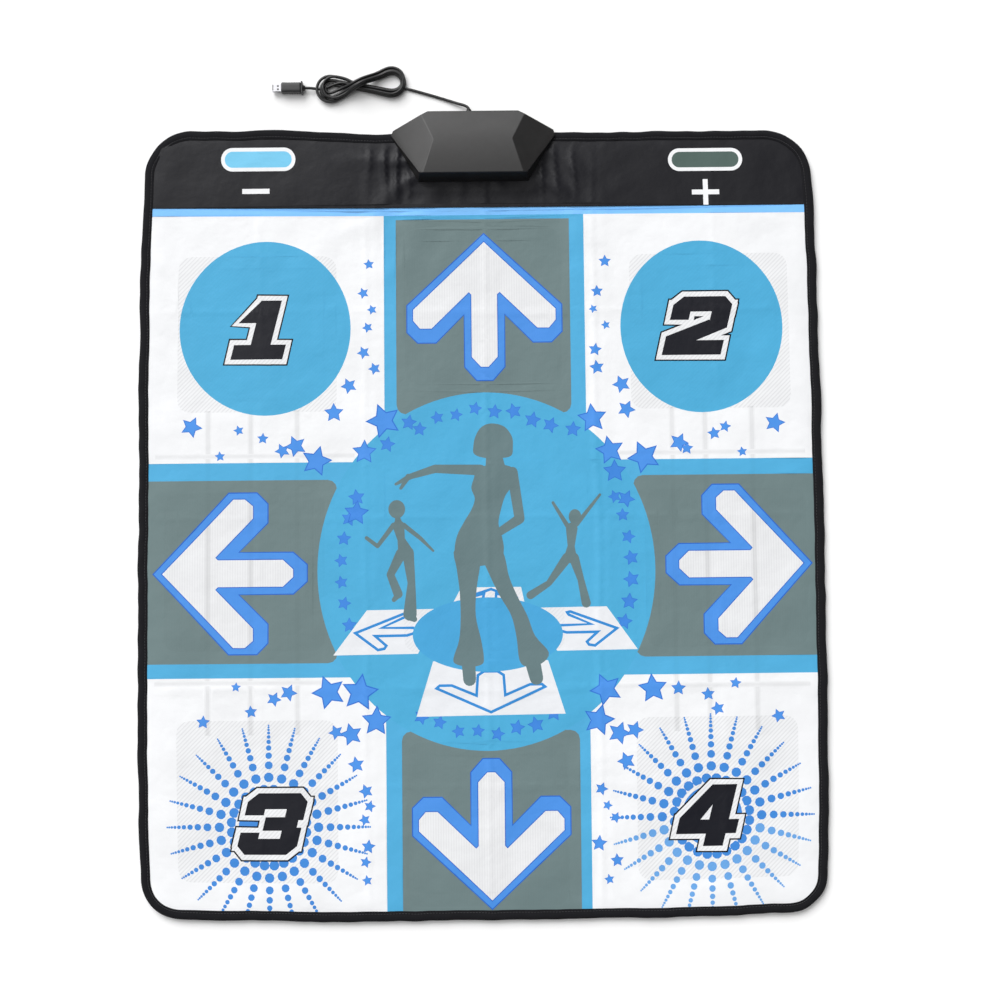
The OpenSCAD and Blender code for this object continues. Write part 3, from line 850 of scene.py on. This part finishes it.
def mark_hidden_layers():
    """Switch pads and printed tracks that show faintly through the cloth."""
    for name, (x0, y0, x1, y1), _ in zone_boxes():
        kind, _, place = name.partition("_")
        if kind == "pad":
            look = "rib" if place in CROSS_PADS else "hatch"
            mark(look, 1.0, rounded(x0 + 1, y0 + 1, x1 - 1, y1 - 1, 15, 4))
    mark("hatch", 0.6, rounded(-92, -172, 98, 58, 15, 4))
    for distances, side in (((223, 278, 328), -1), ((224, 263, 318), 1)):
        for distance in distances:
            x = ART_X + side * distance
            for half, value in ((3.8, 0.4), (2.2, 1.0)):
                mark("track", value, rectangle(x - half, -268, x + half, 118))
    for y, x0, x1 in ((63, -384, -150), (63, 156, 384), (-207, -384, -190), (-214, 150, 384)):
        for half, value in ((3, 0.4), (1.6, 0.8)):
            mark("track", value, rectangle(x0, y - half, x1, y + half))


def triangulate(cloth, grid_step):
    """The cover cut into triangles along every printed edge, with a fine grid between them."""
    points, faces, kinds = [], [], []

    def add(polygon, kind):
        if area2(polygon) < 0:
            polygon = polygon[::-1]
        start = len(points)
        points.extend(Vector(p) for p in polygon)
        faces.append(list(range(start, len(points))))
        kinds.append(kind)

    add(cloth, ("cloth", ""))
    for kind, value, polygon in prints:
        add(polygon, (kind, value))
    low = [min(p[k] for p in cloth) for k in (0, 1)]
    high = [max(p[k] for p in cloth) for k in (0, 1)]
    rows = int((high[1] - low[1]) / grid_step)
    columns = int((high[0] - low[0]) / grid_step)
    for row in range(1, rows):
        for column in range(1, columns):
            shift = 0.5 if row % 2 else 0.0
            points.append(Vector((low[0] + (column + shift) * grid_step, low[1] + row * grid_step)))
    verts, _, triangles, _, _, origins = geometry.delaunay_2d_cdt(points, [], faces, 0, 0.001)
    return verts, triangles, origins, kinds


def sort_by_piece(triangles, origins, kinds):
    """Each piece's triangles, with their ink and how much of each hidden layer they show."""
    groups = {}
    for triangle, origin in zip(triangles, origins):
        found = {"piece": "cover_cloth", "hatch": 0.0, "rib": 0.0, "track": 0.0}
        found.update(kinds[index] for index in sorted(origin))
        if "cloth" in found and "ink" in found:
            shows = [found[kind] for kind in ("hatch", "rib", "track")]
            groups.setdefault(found["piece"], []).append((triangle, INKS[found["ink"]], shows))
    return groups


def corner_colours(mesh, name, colours):
    """One colour for each triangle, given to all its corners."""
    layer = mesh.attributes.new(name, "FLOAT_COLOR", "CORNER")
    layer.data.foreach_set("color", [c for colour in colours for _ in range(3) for c in (*colour, 1)])


def build_cover(cloth_material):
    """The printed cover, cut into its base cloth, ten middles and forty edge strips."""
    draw_cover()
    mark_zones()
    mark_hidden_layers()
    verts, triangles, origins, kinds = triangulate(outline(3), COVER_GRID)
    raised = {}
    pieces, flat_area = {}, 0.0
    for piece, members in sort_by_piece(triangles, origins, kinds).items():
        index, coords, faces, ordered = {}, [], [], []
        for triangle, _, _ in members:
            for v in triangle:
                if v in index:
                    continue
                if v not in raised:
                    raised[v] = (lift(*verts[v]), slope_normal(*verts[v]))
                index[v] = len(coords)
                height, normal = raised[v]
                x, y = settled(*verts[v])
                coords.append((x * MM, y * MM, COVER_Z + height * MM))
                ordered.append(normal)
            faces.append([index[v] for v in triangle])
        made = add_mesh(piece, coords, faces, cloth_material)
        corner_colours(made.data, "ink", [colour for _, colour, _ in members])
        corner_colours(made.data, "shows", [shows for _, _, shows in members])
        made.data.normals_split_custom_set_from_vertices(ordered)
        pieces[piece] = made
        if piece == "cover_cloth":
            for triangle, _, _ in members:
                a, b, c = (verts[v] for v in triangle)
                flat_area += abs((b - a).cross(c - a)) / 2
    return pieces, flat_area * MM * MM


def assign_cover(pieces):
    """Gives the base cloth and each zone's middle its body; the strips are only fixed in place."""
    base = pieces["cover_cloth"]
    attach(base, "mat")
    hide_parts("top_cover")
    for name, (x0, y0, x1, y1), edge in zone_boxes():
        body = "zone_" + name.split("_", 1)[1]
        centre = pieces[name + "_cloth"]
        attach(centre, body)
        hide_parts(name)
        mid = ((x0 + x1) / 2, (y0 + y1) / 2)
        ends = {"front": (mid[0], y0), "right": (x1, mid[1]), "rear": (mid[0], y1), "left": (x0, mid[1])}
        for side, (x, y) in ends.items():
            strip = pieces[f"{name}_{side}_bend"]
            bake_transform(strip)


# ---------------------------------------------------------------- mesh helpers

def add_mesh(name, coords, faces, material, smooth=True):
    """A mesh object with its material."""
    mesh = bpy.data.meshes.new(name)
    mesh.from_pydata([tuple(c) for c in coords], [], faces)
    mesh.materials.append(material)
    shade(mesh, smooth)
    made = add_object(name, mesh)
    return made


def shade(mesh, smooth):
    for polygon in mesh.polygons:
        polygon.use_smooth = smooth


def ring_faces(rings, n, start=0):
    """The quads between closed rings of n points each."""
    faces = []
    for ring in range(rings - 1):
        for i in range(n):
            a, b = start + ring * n + i, start + ring * n + (i + 1) % n
            faces.append([a, b, b + n, a + n])
    return faces


def tube_faces(rings, n, start=0):
    """Closed rings joined into a tube, with a flat face on each end."""
    last = start + (rings - 1) * n
    caps = [[start + i for i in reversed(range(n))], [last + i for i in range(n)]]
    return ring_faces(rings, n, start) + caps


def baked_modifiers(made):
    """The object's modifiers applied to its mesh."""
    graph = bpy.context.evaluated_depsgraph_get()
    mesh = bpy.data.meshes.new_from_object(made.evaluated_get(graph))
    made.modifiers.clear()
    made.data = mesh
    return made


def bevelled(made, width):
    """The object with its edges rounded; faces that meet almost flat stay as they are."""
    modifier = made.modifiers.new("bevel", "BEVEL")
    modifier.width = width
    modifier.segments = 3
    modifier.limit_method = "ANGLE"
    modifier.angle_limit = 0.35
    modifier.harden_normals = True
    return baked_modifiers(made)


def hull_mesh(name, points, material):
    """The convex shape round the points, with its flat faces whole."""
    made = add_mesh(name, points, [], material)
    bm = bmesh.new()
    bm.from_mesh(made.data)
    bmesh.ops.convex_hull(bm, input=bm.verts)
    bmesh.ops.dissolve_limit(bm, angle_limit=0.01, verts=bm.verts, edges=bm.edges)
    bmesh.ops.recalc_face_normals(bm, faces=bm.faces)
    bm.to_mesh(made.data)
    bm.free()
    shade(made.data, True)
    return made


def lathe(name, profile, place, direction, material):
    """A closed turned shape: profile is (distance along, radius) in millimetres."""
    n = 32
    turn = Vector(direction).to_track_quat("Z", "Y").to_matrix().to_4x4()
    turn.translation = Vector(place)
    coords = []
    for along, r in profile:
        for i in range(n):
            x, y = polar(0, 0, r, 2 * math.pi * i / n)
            coords.append(turn @ Vector((x * MM, y * MM, along * MM)))
    return add_mesh(name, coords, tube_faces(len(profile), n), material)


def rib_profile(start, pitch, radius, taper, width):
    """Three moulded rings along a strain relief, each a little smaller than the one before."""
    profile = []
    for i in range(3):
        z, r = start + 0.2 + pitch * i, radius - taper * i
        profile += [(z, r), (z + width, r), (z + width + 0.05, r - 0.4), (z + pitch - 0.05, r - 0.4)]
    return profile


# ---------------------------------------------------------------- edge tape and backing

def along_outline(step):
    """Points along the mat's edge with their outward directions, open where the box clamps it."""
    points = outline(0, step)
    gap_left = BOX_X - BINDING_GAP - 1
    start = min(range(len(points)), key=lambda i: abs(points[i][0] - gap_left) - points[i][1])
    points = points[start:] + points[:start]
    kept = [p for p in points if not (p[1] > REAR - 0.5 and abs(p[0] - BOX_X) < BINDING_GAP)]
    result = []
    for i, p in enumerate(kept):
        a, b = Vector(kept[max(i - 1, 0)]), Vector(kept[min(i + 1, len(kept) - 1)])
        along = (b - a).normalized()
        result.append((Vector(p), Vector((along.y, -along.x))))
    return result


def tape_wave(p):
    """Small in-and-out and up-and-down waves of the sewn tape, in millimetres."""
    sideways = max(1.6 * soft_noise(p.x, p.y, 60, 3.3) + soft_noise(p.x, p.y, 22, 5.1) + 0.6, -0.5)
    upward = 0.45 * soft_noise(p.x, p.y, 21, 8.8)
    return sideways, upward


# The folded tape from its lower edge, round the mat's side, to its upper edge: distance in, height
TAPE_PROFILE = [
    (11, 0.1), (8, 0.0), (3.5, 0.0), (1.4, 0.3), (0.4, 1.2), (0.0, 2.6), (0.0, TOP - 2.6),
    (0.4, TOP - 1.0), (1.5, TOP - 0.1), (3.4, TOP + 0.45), (5.6, TOP + 0.6), (7.4, TOP + 0.25),
    (8.6, TOP - 0.1), (9.7, TOP + 0.15), (10.8, TOP + 0.05), (11.2, TOP - 0.5), (11.1, TOP - 0.95),
]


def build_binding(tape, thread):
    """The folded tape round the edge, with its stitches."""
    stations = along_outline(TAPE_STEP)
    coords, faces = [], []
    for p, outward in stations:
        sideways, upward = tape_wave(p)
        for inset, z in TAPE_PROFILE:
            rise = upward * max(0.0, min(1.0, (z - 2) / 4))
            place = p - outward * (inset - sideways * (1 if inset < 10 else 0.6))
            coords.append(in_place(place.x, place.y, max(z + rise, 0)))
    n = len(TAPE_PROFILE)
    for i in range(len(stations) - 1):
        for k in range(n - 1):
            a = i * n + k
            faces.append([a, a + 1, a + n + 1, a + n])
    binding = add_mesh("binding_tape", coords, faces, tape)
    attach(binding, "mat")
    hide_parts("edge_binding")
    stitches = build_stitches(thread)


def build_stitches(thread):
    """One row of lockstitches along the tape, each a small raised bar of thread."""
    seam_inset = 8.7
    rings = ((-1.35, 0.1, -0.15), (-0.9, 0.3, 0.14), (0.9, 0.3, 0.14), (1.35, 0.1, -0.15))
    coords, faces = [], []
    spacing = along_outline(STITCH_PITCH)
    for (p, outward), (q, _) in zip(spacing, spacing[1:]):
        # a longer gap is the stretch under the box
        if (q - p).length > 6:
            continue
        along = (q - p).normalized()
        sideways, upward = tape_wave(p)
        centre = (p + q) / 2 - outward * (seam_inset - sideways)
        faces += tube_faces(len(rings), 4, len(coords))
        for share, half, rise in rings:
            for side, up in ((-1, 0), (0, 1), (1, 0), (0, -1)):
                place = centre + along * share + outward * side * half
                coords.append(in_place(place.x, place.y, TOP + 0.12 + upward + rise + up * half * 0.8))
    stitches = add_mesh("binding_stitches", coords, faces, thread)
    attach(stitches, "mat")
    return stitches


# Width and depth of the backing in millimetres
BACKING_WIDTH = (BACKING_HIGH[0] - BACKING_LOW[0]) / MM
BACKING_DEPTH = (BACKING_HIGH[1] - BACKING_LOW[1]) / MM


def build_backing(cloth, rubber):
    """Non-slip underside: a cloth, cut out for the box's base, with rubber dots that touch the floor."""
    x0, y0, rear = BACKING_LOW[0] / MM, BACKING_LOW[1] / MM, BACKING_HIGH[1] / MM + 2
    edge = outline(10.4, 12)
    front = BOX_FRONT + 3
    cut_out = [(BOX_X - 60, front), (BOX_X + 60, front), (BOX_X + 85, rear), (BOX_X - 85, rear)]
    points = [Vector(p) for p in edge + cut_out]
    faces = [list(range(len(edge))), list(range(len(edge), len(points)))]
    for row in range(1, int(BACKING_DEPTH / BACKING_GRID)):
        for column in range(1, int(BACKING_WIDTH / BACKING_GRID)):
            points.append(Vector((x0 + column * BACKING_GRID, y0 + row * BACKING_GRID)))
    verts, _, triangles, _, _, origins = geometry.delaunay_2d_cdt(points, [], faces, 0, 0.001)
    kept = [t for t, o in zip(triangles, origins) if 0 in o and 1 not in o]
    used = sorted({v for t in kept for v in t})
    index = {v: i for i, v in enumerate(used)}
    coords = [in_place(*verts[v], 0.62 + 0.2 * soft_noise(*verts[v], 40, 6.6)) for v in used]
    faces = [[index[v] for v in reversed(t)] for t in kept]
    backing = add_mesh("backing_sheet", coords, faces, cloth)
    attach(backing, "mat")
    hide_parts("backing_cloth")
    dots = build_grip_dots(rubber)


def has_dot(x, y):
    """Grip dots stay clear of the edge, the round corners and the box's base."""
    near_box = y > BOX_FRONT - 5 and abs(x - BOX_X) < 92
    to_corner = min(abs(x - LEFT), abs(x - RIGHT)) + min(abs(y - FRONT), abs(y - REAR))
    return edge_distance(x, y) >= 22 and to_corner >= 70 and not near_box


def build_grip_dots(rubber):
    """Staggered rows of small rubber domes."""
    coords, faces = [], []
    pitch, radius, sides = 26, 3.2, 8
    row_pitch = pitch * 0.866
    for row in range(int(BACKING_DEPTH / row_pitch)):
        for column in range(int(BACKING_WIDTH / pitch)):
            x = BACKING_LOW[0] / MM + pitch * (column + (1.0 if row % 2 else 0.5))
            y = BACKING_LOW[1] / MM + row_pitch * (row + 0.5)
            if not has_dot(x, y):
                continue
            start = len(coords)
            for share, z in ((1, 0.8), (0.8, 0.2), (0.4, 0.03)):
                ring = [polar(x, y, radius * share, 2 * math.pi * i / sides) for i in range(sides)]
                coords += [(px * MM, py * MM, z * MM) for px, py in ring]
            coords.append((x * MM, y * MM, 0))
            faces += [[a, d, c, b] for a, b, c, d in ring_faces(3, sides, start)]
            last, tip = start + 2 * sides, start + 3 * sides
            faces += [[last + i, tip, last + (i + 1) % sides] for i in range(sides)]
            faces.append([start + i for i in range(sides)])
    dots = add_mesh("grip_dots", coords, faces, rubber)
    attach(dots, "mat")
    return dots


# ---------------------------------------------------------------- control box

def build_box(plastic):
    """The faceted cover, with the same corners as its CAD node and softened edges."""
    front, rear, top, base = BOX_FRONT, BOX_HIGH[1] / MM, BOX_HIGH[2] / MM, BOX_LOW[2] / MM
    tip_y = REAR + 2
    half = (BOX_HIGH[0] - BOX_LOW[0]) / MM / 2
    corners = []
    for x, y in ((66.5, front), (half, tip_y - 5), (half - 2, tip_y + 1), (54.5, rear)):
        corners += [(x, y, base), (x, y, base + 3.3)]
    corners += [
        (half - 8, tip_y - 0.1, 14), (64.5, front + 5.5, 32.2), (62.6, rear - 7.8, 23.2),
        (54.5, rear - 3.3, 21.8), (60.5, front + 5, top), (47, rear - 41, top),
    ]
    points = [((BOX_X + sign * x) * MM, y * MM, z * MM) for x, y, z in corners for sign in (-1, 1)]
    cover = hull_mesh("box_shell", points, plastic)
    bevelled(cover, 0.9 * MM)
    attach(cover, "mat")
    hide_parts("box_cover")


# ---------------------------------------------------------------- cord and plug

def smooth_route(points, per_span=3):
    """A smooth curve through the points."""
    p = [Vector(v) for v in points]
    near = [p[0]] + p + [p[-1]]
    route = []
    for i in range(len(p) - 1):
        route += [between_four(*near[i:i + 4], k / per_span) for k in range(per_span)]
    return route + [p[-1]]


# The hank: how often the figure of eight is gone round, and its two loops as x, y, radius
HANK_TURNS = 6
LOBE_RIGHT = (-103.8, 520.4, 14.2)
LOBE_LEFT = (-178.5, 511.4, 10.9)


def hank_loop(step=2.5):
    """One turn of the figure of eight: points, and how far each is along the raised crossing."""
    right, left = Vector(LOBE_RIGHT[:2]), Vector(LOBE_LEFT[:2])
    r1, r2 = LOBE_RIGHT[2], LOBE_LEFT[2]
    axis = left - right
    lean = math.asin((r1 + r2) / axis.length)
    base = math.atan2(axis.y, axis.x)
    loop = []

    def at(centre, r, a):
        return centre + Vector((math.cos(a), math.sin(a))) * r

    def arc(centre, r, start, sweep):
        n = max(4, round(abs(sweep) * r / step))
        for i in range(n):
            loop.append((at(centre, r, start + sweep * i / n), 0.0))

    def line(p, q, raised):
        n = max(4, round((q - p).length / step))
        for i in range(n):
            share = i / n
            hump = max(0.0, 1 - abs(share - 0.5) / 0.4) if raised else 0.0
            loop.append((p.lerp(q, share), hump))

    low_right, high_right = base + math.pi / 2 - lean, base - math.pi / 2 + lean
    low_left, high_left = base + math.pi / 2 + lean, base - math.pi / 2 - lean
    line(at(right, r1, low_right), at(left, r2, high_left), False)
    arc(left, r2, high_left, 2 * lean + math.pi)
    line(at(left, r2, low_left), at(right, r1, high_right), True)
    arc(right, r1, high_right, -(2 * lean + math.pi))
    return loop


def ramp(value, low, high):
    """0 below low, 1 above high and smooth between them."""
    share = max(0.0, min(1.0, (value - low) / (high - low)))
    return share * share * (3 - 2 * share)


def hank_route():
    """All turns of the hank: seven strands packed tight at the crossing and looser in the loops."""
    loop = hank_loop()
    n = len(loop)
    d = CORD_D
    row = d * math.sqrt(3) / 2
    packing = [(-d / 2, -row), (d / 2, -row), (-d, 0), (0, 0), (d, 0), (-d / 2, row), (d / 2, row)]
    drift = {-row: (1.5, -0.5), 0: (-0.5, 1.0), row: (4.5, 2.0)}
    route = []
    for turn in range(HANK_TURNS + 1):
        for i in range(n if turn < HANK_TURNS else n // 4):
            p, hump = loop[i]
            along = (loop[(i + 1) % n][0] - loop[i - 1][0]).normalized()
            side = Vector((-along.y, along.x))
            change = ramp(i / n, 0.78, 1.0)
            u, v = packing[turn]
            next_u, next_v = packing[min(turn + 1, HANK_TURNS)]
            shift, next_shift = Vector(drift[v]), Vector(drift[next_v])
            u, v = u + (next_u - u) * change, v + (next_v - v) * change
            shift = shift.lerp(next_shift, change)
            left, right = ramp(-p.x, 146, 168), ramp(p.x, -124, -106)
            spread = 1 + 0.5 * left + 0.12 * right
            place = p + side * (u * spread) + shift * left
            rise = 3.1 * row * hump * hump * (3 - 2 * hump)
            route.append(Vector((place.x, place.y, d / 2 + row + v * (1 + 0.06 * left) + rise)))
    return route


def build_cord(rubber):
    """The whole cord as one tube: out of the box, round the hank and on to the plug."""
    lead, hank, tail = smooth_route(LEAD), hank_route(), smooth_route(TAIL)
    joined = lead[:-1] + ease(lead[-2:], hank[:2]) + hank + ease(hank[-2:], tail[:2]) + tail[1:]
    route = even(joined, 1.6)
    data = bpy.data.curves.new("cord", "CURVE")
    data.dimensions = "3D"
    data.bevel_depth = CORD_D / 2 * MM
    data.bevel_resolution = 3
    data.use_fill_caps = True
    spline = data.splines.new("POLY")
    spline.points.add(len(route) - 1)
    for point, place in zip(spline.points, route):
        point.co = (place.x * MM, place.y * MM, place.z * MM, 1)
    spline.use_smooth = True
    data.materials.append(rubber)
    cord = add_object("cord", data)
    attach(cord, "mat")
    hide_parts("cord_lead", "cord_hank", "cord_tail")
    length = sum((a - b).length for a, b in zip(route, route[1:])) * MM
    print(f"cord length {length:.3f} m")
    return cord, length


def ease(into, out, n=14):
    """A smooth join from the end of one route to the start of another."""
    p, q = into[1], out[0]
    reach = (q - p).length
    t0 = (into[1] - into[0]).normalized() * reach
    t1 = (out[1] - out[0]).normalized() * reach
    points = []
    for i in range(1, n):
        s = i / n
        points.append(p * (2 * s ** 3 - 3 * s ** 2 + 1) + t0 * (s ** 3 - 2 * s ** 2 + s)
                      + q * (3 * s ** 2 - 2 * s ** 3) + t1 * (s ** 3 - s ** 2))
    return points


def even(points, step):
    """The same route with evenly spaced points, lightly relaxed."""
    spaced = [points[0]]
    for p in points[1:]:
        while (p - spaced[-1]).length > step:
            spaced.append(spaced[-1] + (p - spaced[-1]).normalized() * step)
    spaced.append(points[-1])
    for _ in range(3):
        inner = [(a + b * 2 + c) / 4 for a, b, c in zip(spaced, spaced[1:], spaced[2:])]
        spaced = [spaced[0]] + inner + [spaced[-1]]
    return spaced


def build_relief(rubber):
    """The ribbed bush where the cord leaves the box."""
    low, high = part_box("strain_relief")
    place = ((low[0] + high[0]) / 2, low[1], (low[2] + high[2]) / 2)
    length = (high[1] - low[1]) / MM
    neck = length - 3.5
    profile = [(0, 0.5), (0, 4.2), (2, 4.2), (2, 3.15), (neck, 3.15)]
    profile += rib_profile(neck, 1.05, 3.5, 0.35, 0.65)
    profile += [(length, 2.2), (length, 0.5)]
    relief = lathe("cord_bush", profile, place, (0, 1, 0), rubber)
    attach(relief, "mat")
    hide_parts("strain_relief")
    return relief


def box_and_centre(name):
    """A CAD node's low corner, high corner and centre, in metres."""
    low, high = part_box(name)
    return low, high, (Vector(low) + Vector(high)) / 2


def build_plug_body(plastic):
    """A rounded bar with five shallow grip ribs on each side."""
    low, high, centre = box_and_centre("plug_housing")
    size = Vector(high) - Vector(low)
    coords = []
    steps, sides, ribs = 28, 32, 5
    grip_start, grip_length = 0.14, 0.64
    for i in range(steps + 1):
        share = i / steps
        x = high[0] - share * size.x
        grip = 0.0
        if grip_start < share < grip_start + grip_length:
            wave = math.cos((share - grip_start) / grip_length * ribs * 2 * math.pi)
            grip = 0.35 * MM * (0.5 + 0.5 * wave)
        end = min(share, 1 - share) * size.x
        round_off = 0.9 * MM * max(0.0, 1 - end / (1.2 * MM)) ** 2
        for k in range(sides):
            c, s = polar(0, 0, 1, 2 * math.pi * k / sides)
            squareness = (abs(c) ** 5 + abs(s) ** 5) ** (-1 / 5)
            half_w = size.y / 2 - round_off - grip * (abs(c) > 0.6)
            half_h = size.z / 2 - round_off
            y = centre.y + half_w * squareness * c * 0.985
            coords.append((x, y, centre.z + half_h * squareness * s))
    body = add_mesh("plug_body", coords, tube_faces(steps + 1, sides), plastic)
    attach(body, "mat")
    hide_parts("plug_housing")
    return body


def build_plug_boot(plastic, rubber):
    """The collar behind the plug's body and the ribbed sleeve that the cord enters."""
    low, high, centre = box_and_centre("plug_boot")
    half_w = high[1] - centre.y
    points = [
        (x, centre.y + side * half_w, centre.z + up * 5 * MM)
        for x in (low[0], low[0] + 2 * MM) for side in (-1, 1) for up in (-1, 1)
    ]
    collar = bevelled(hull_mesh("plug_collar", points, plastic), 0.8 * MM)
    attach(collar, "mat")
    profile = [(0, 0.5), (0, 4)] + rib_profile(0, 0.95, 3.8, 0.45, 0.6) + [(3, 2.3), (3, 0.5)]
    place = (low[0] + 2 * MM, centre.y, centre.z)
    sleeve = lathe("plug_sleeve", profile, place, (1, 0, 0), rubber)
    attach(sleeve, "mat")
    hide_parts("plug_boot")
    return [collar, sleeve]


def build_plug_shade_plates(plastic):
    """Dark plates of painted shade in the latch openings and a painted shadow slot near the end, above and
    below the metal nose.
    """
    low, high, centre = box_and_centre("plug_shell")
    coords, faces = [], []
    # two latch openings and one slot, each filled by a dark plate of painted shade
    for x, y, half_x, half_y in ((1.5, -2, 1.1, 1), (1.5, 2, 1.1, 1), (-4.6, 0, 0.5, 3.4)):
        for z, side in ((low[2], -1), (high[2], 1)):
            start = len(coords)
            for level in (z - side * 0.2 * MM, z + side * 0.06 * MM):
                for px, py in rectangle(x - half_x, y - half_y, x + half_x, y + half_y):
                    coords.append((centre.x + px * MM, centre.y + py * MM, level))
            faces += [[start + k for k in quad] for quad in (
                (0, 3, 2, 1), (4, 5, 6, 7), (0, 1, 5, 4), (1, 2, 6, 5), (2, 3, 7, 6), (3, 0, 4, 7))]
    shade_plates = add_mesh("plug_shade_plates", coords, faces, plastic, smooth=False)
    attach(shade_plates, "mat")
    return shade_plates


# ---------------------------------------------------------------- assembly

def dress_nodes(looks):
    """Gives every CAD node that stays its finished material."""
    slots = {s["node"]: s["material_slot"] for s in frame["record"]["subparts"]}
    for name, node in frame["nodes"].items():
        node.data.materials.clear()
        node.data.materials.append(looks[slots[name]])


# Plain looks: colour, roughness, then the depth of the grain and the gloss where they differ
PLASTICS = {
    "box_plastic": ((0.009, 0.0085, 0.0085), 0.38, 0.00004, 0.42),
    "cord_rubber": ((0.009, 0.009, 0.0095), 0.36, 0.00004, 0.42),
    "thread": ((0.03, 0.03, 0.033), 0.6),
    "grip_rubber": ((0.05, 0.05, 0.052), 0.75),
    "foam": ((0.42, 0.43, 0.45), 0.9, 0.0003),
    "film": ((0.7, 0.71, 0.73), 0.25),
    "contact_ink": ((0.03, 0.03, 0.032), 0.6),
    "board": ((0.05, 0.25, 0.09), 0.4),
    "chip_resin": ((0.01, 0.01, 0.011), 0.2),
    "capacitor_sleeve": ((0.03, 0.05, 0.14), 0.3),
    "resonator_coat": ((0.62, 0.25, 0.03), 0.35),
    "connector_plastic": ((0.8, 0.78, 0.72), 0.45),
    "plug_plastic": ((0.02, 0.02, 0.021), 0.42),
    "plug_white": ((0.85, 0.85, 0.83), 0.35),
}
METALS = {
    "screw_steel": ((0.55, 0.56, 0.58), 0.35),
    "plug_metal": ((0.5, 0.5, 0.52), 0.3),
    "pin_brass": ((0.8, 0.6, 0.25), 0.25),
}


def main():
    make_camera()
    make_studio()
    looks = {name: moulded_plastic(name, *values) for name, values in PLASTICS.items()}
    looks.update({name: worn_metal(name, *values) for name, values in METALS.items()})
    looks["cover_cloth"] = printed_cloth()
    looks["binding_tape"] = woven_cloth("tape_weave", (0.011, 0.011, 0.013), 0.0009, 0.62, 0.00012)
    looks["backing"] = woven_cloth("backing_weave", (0.03, 0.03, 0.033), 0.0016, 0.8, 0.00015)
    dress_nodes(looks)
    rubber, plug_plastic = looks["cord_rubber"], looks["plug_plastic"]
    cord, length = build_cord(rubber)
    on_cord = [
        build_relief(rubber), build_plug_body(plug_plastic), *build_plug_boot(plug_plastic, rubber),
        # dark plates of painted shade on the plug's shell
        build_plug_shade_plates(plug_plastic),
    ]
    on_cord += [frame["nodes"][name] for name in ("plug_shell", "plug_insert", "plug_pins")]
    pieces, flat_area = build_cover(looks["cover_cloth"])
    assign_cover(pieces)
    build_binding(looks["binding_tape"], looks["thread"])
    build_backing(looks["backing"], looks["grip_rubber"])
    build_box(looks["box_plastic"])


main()
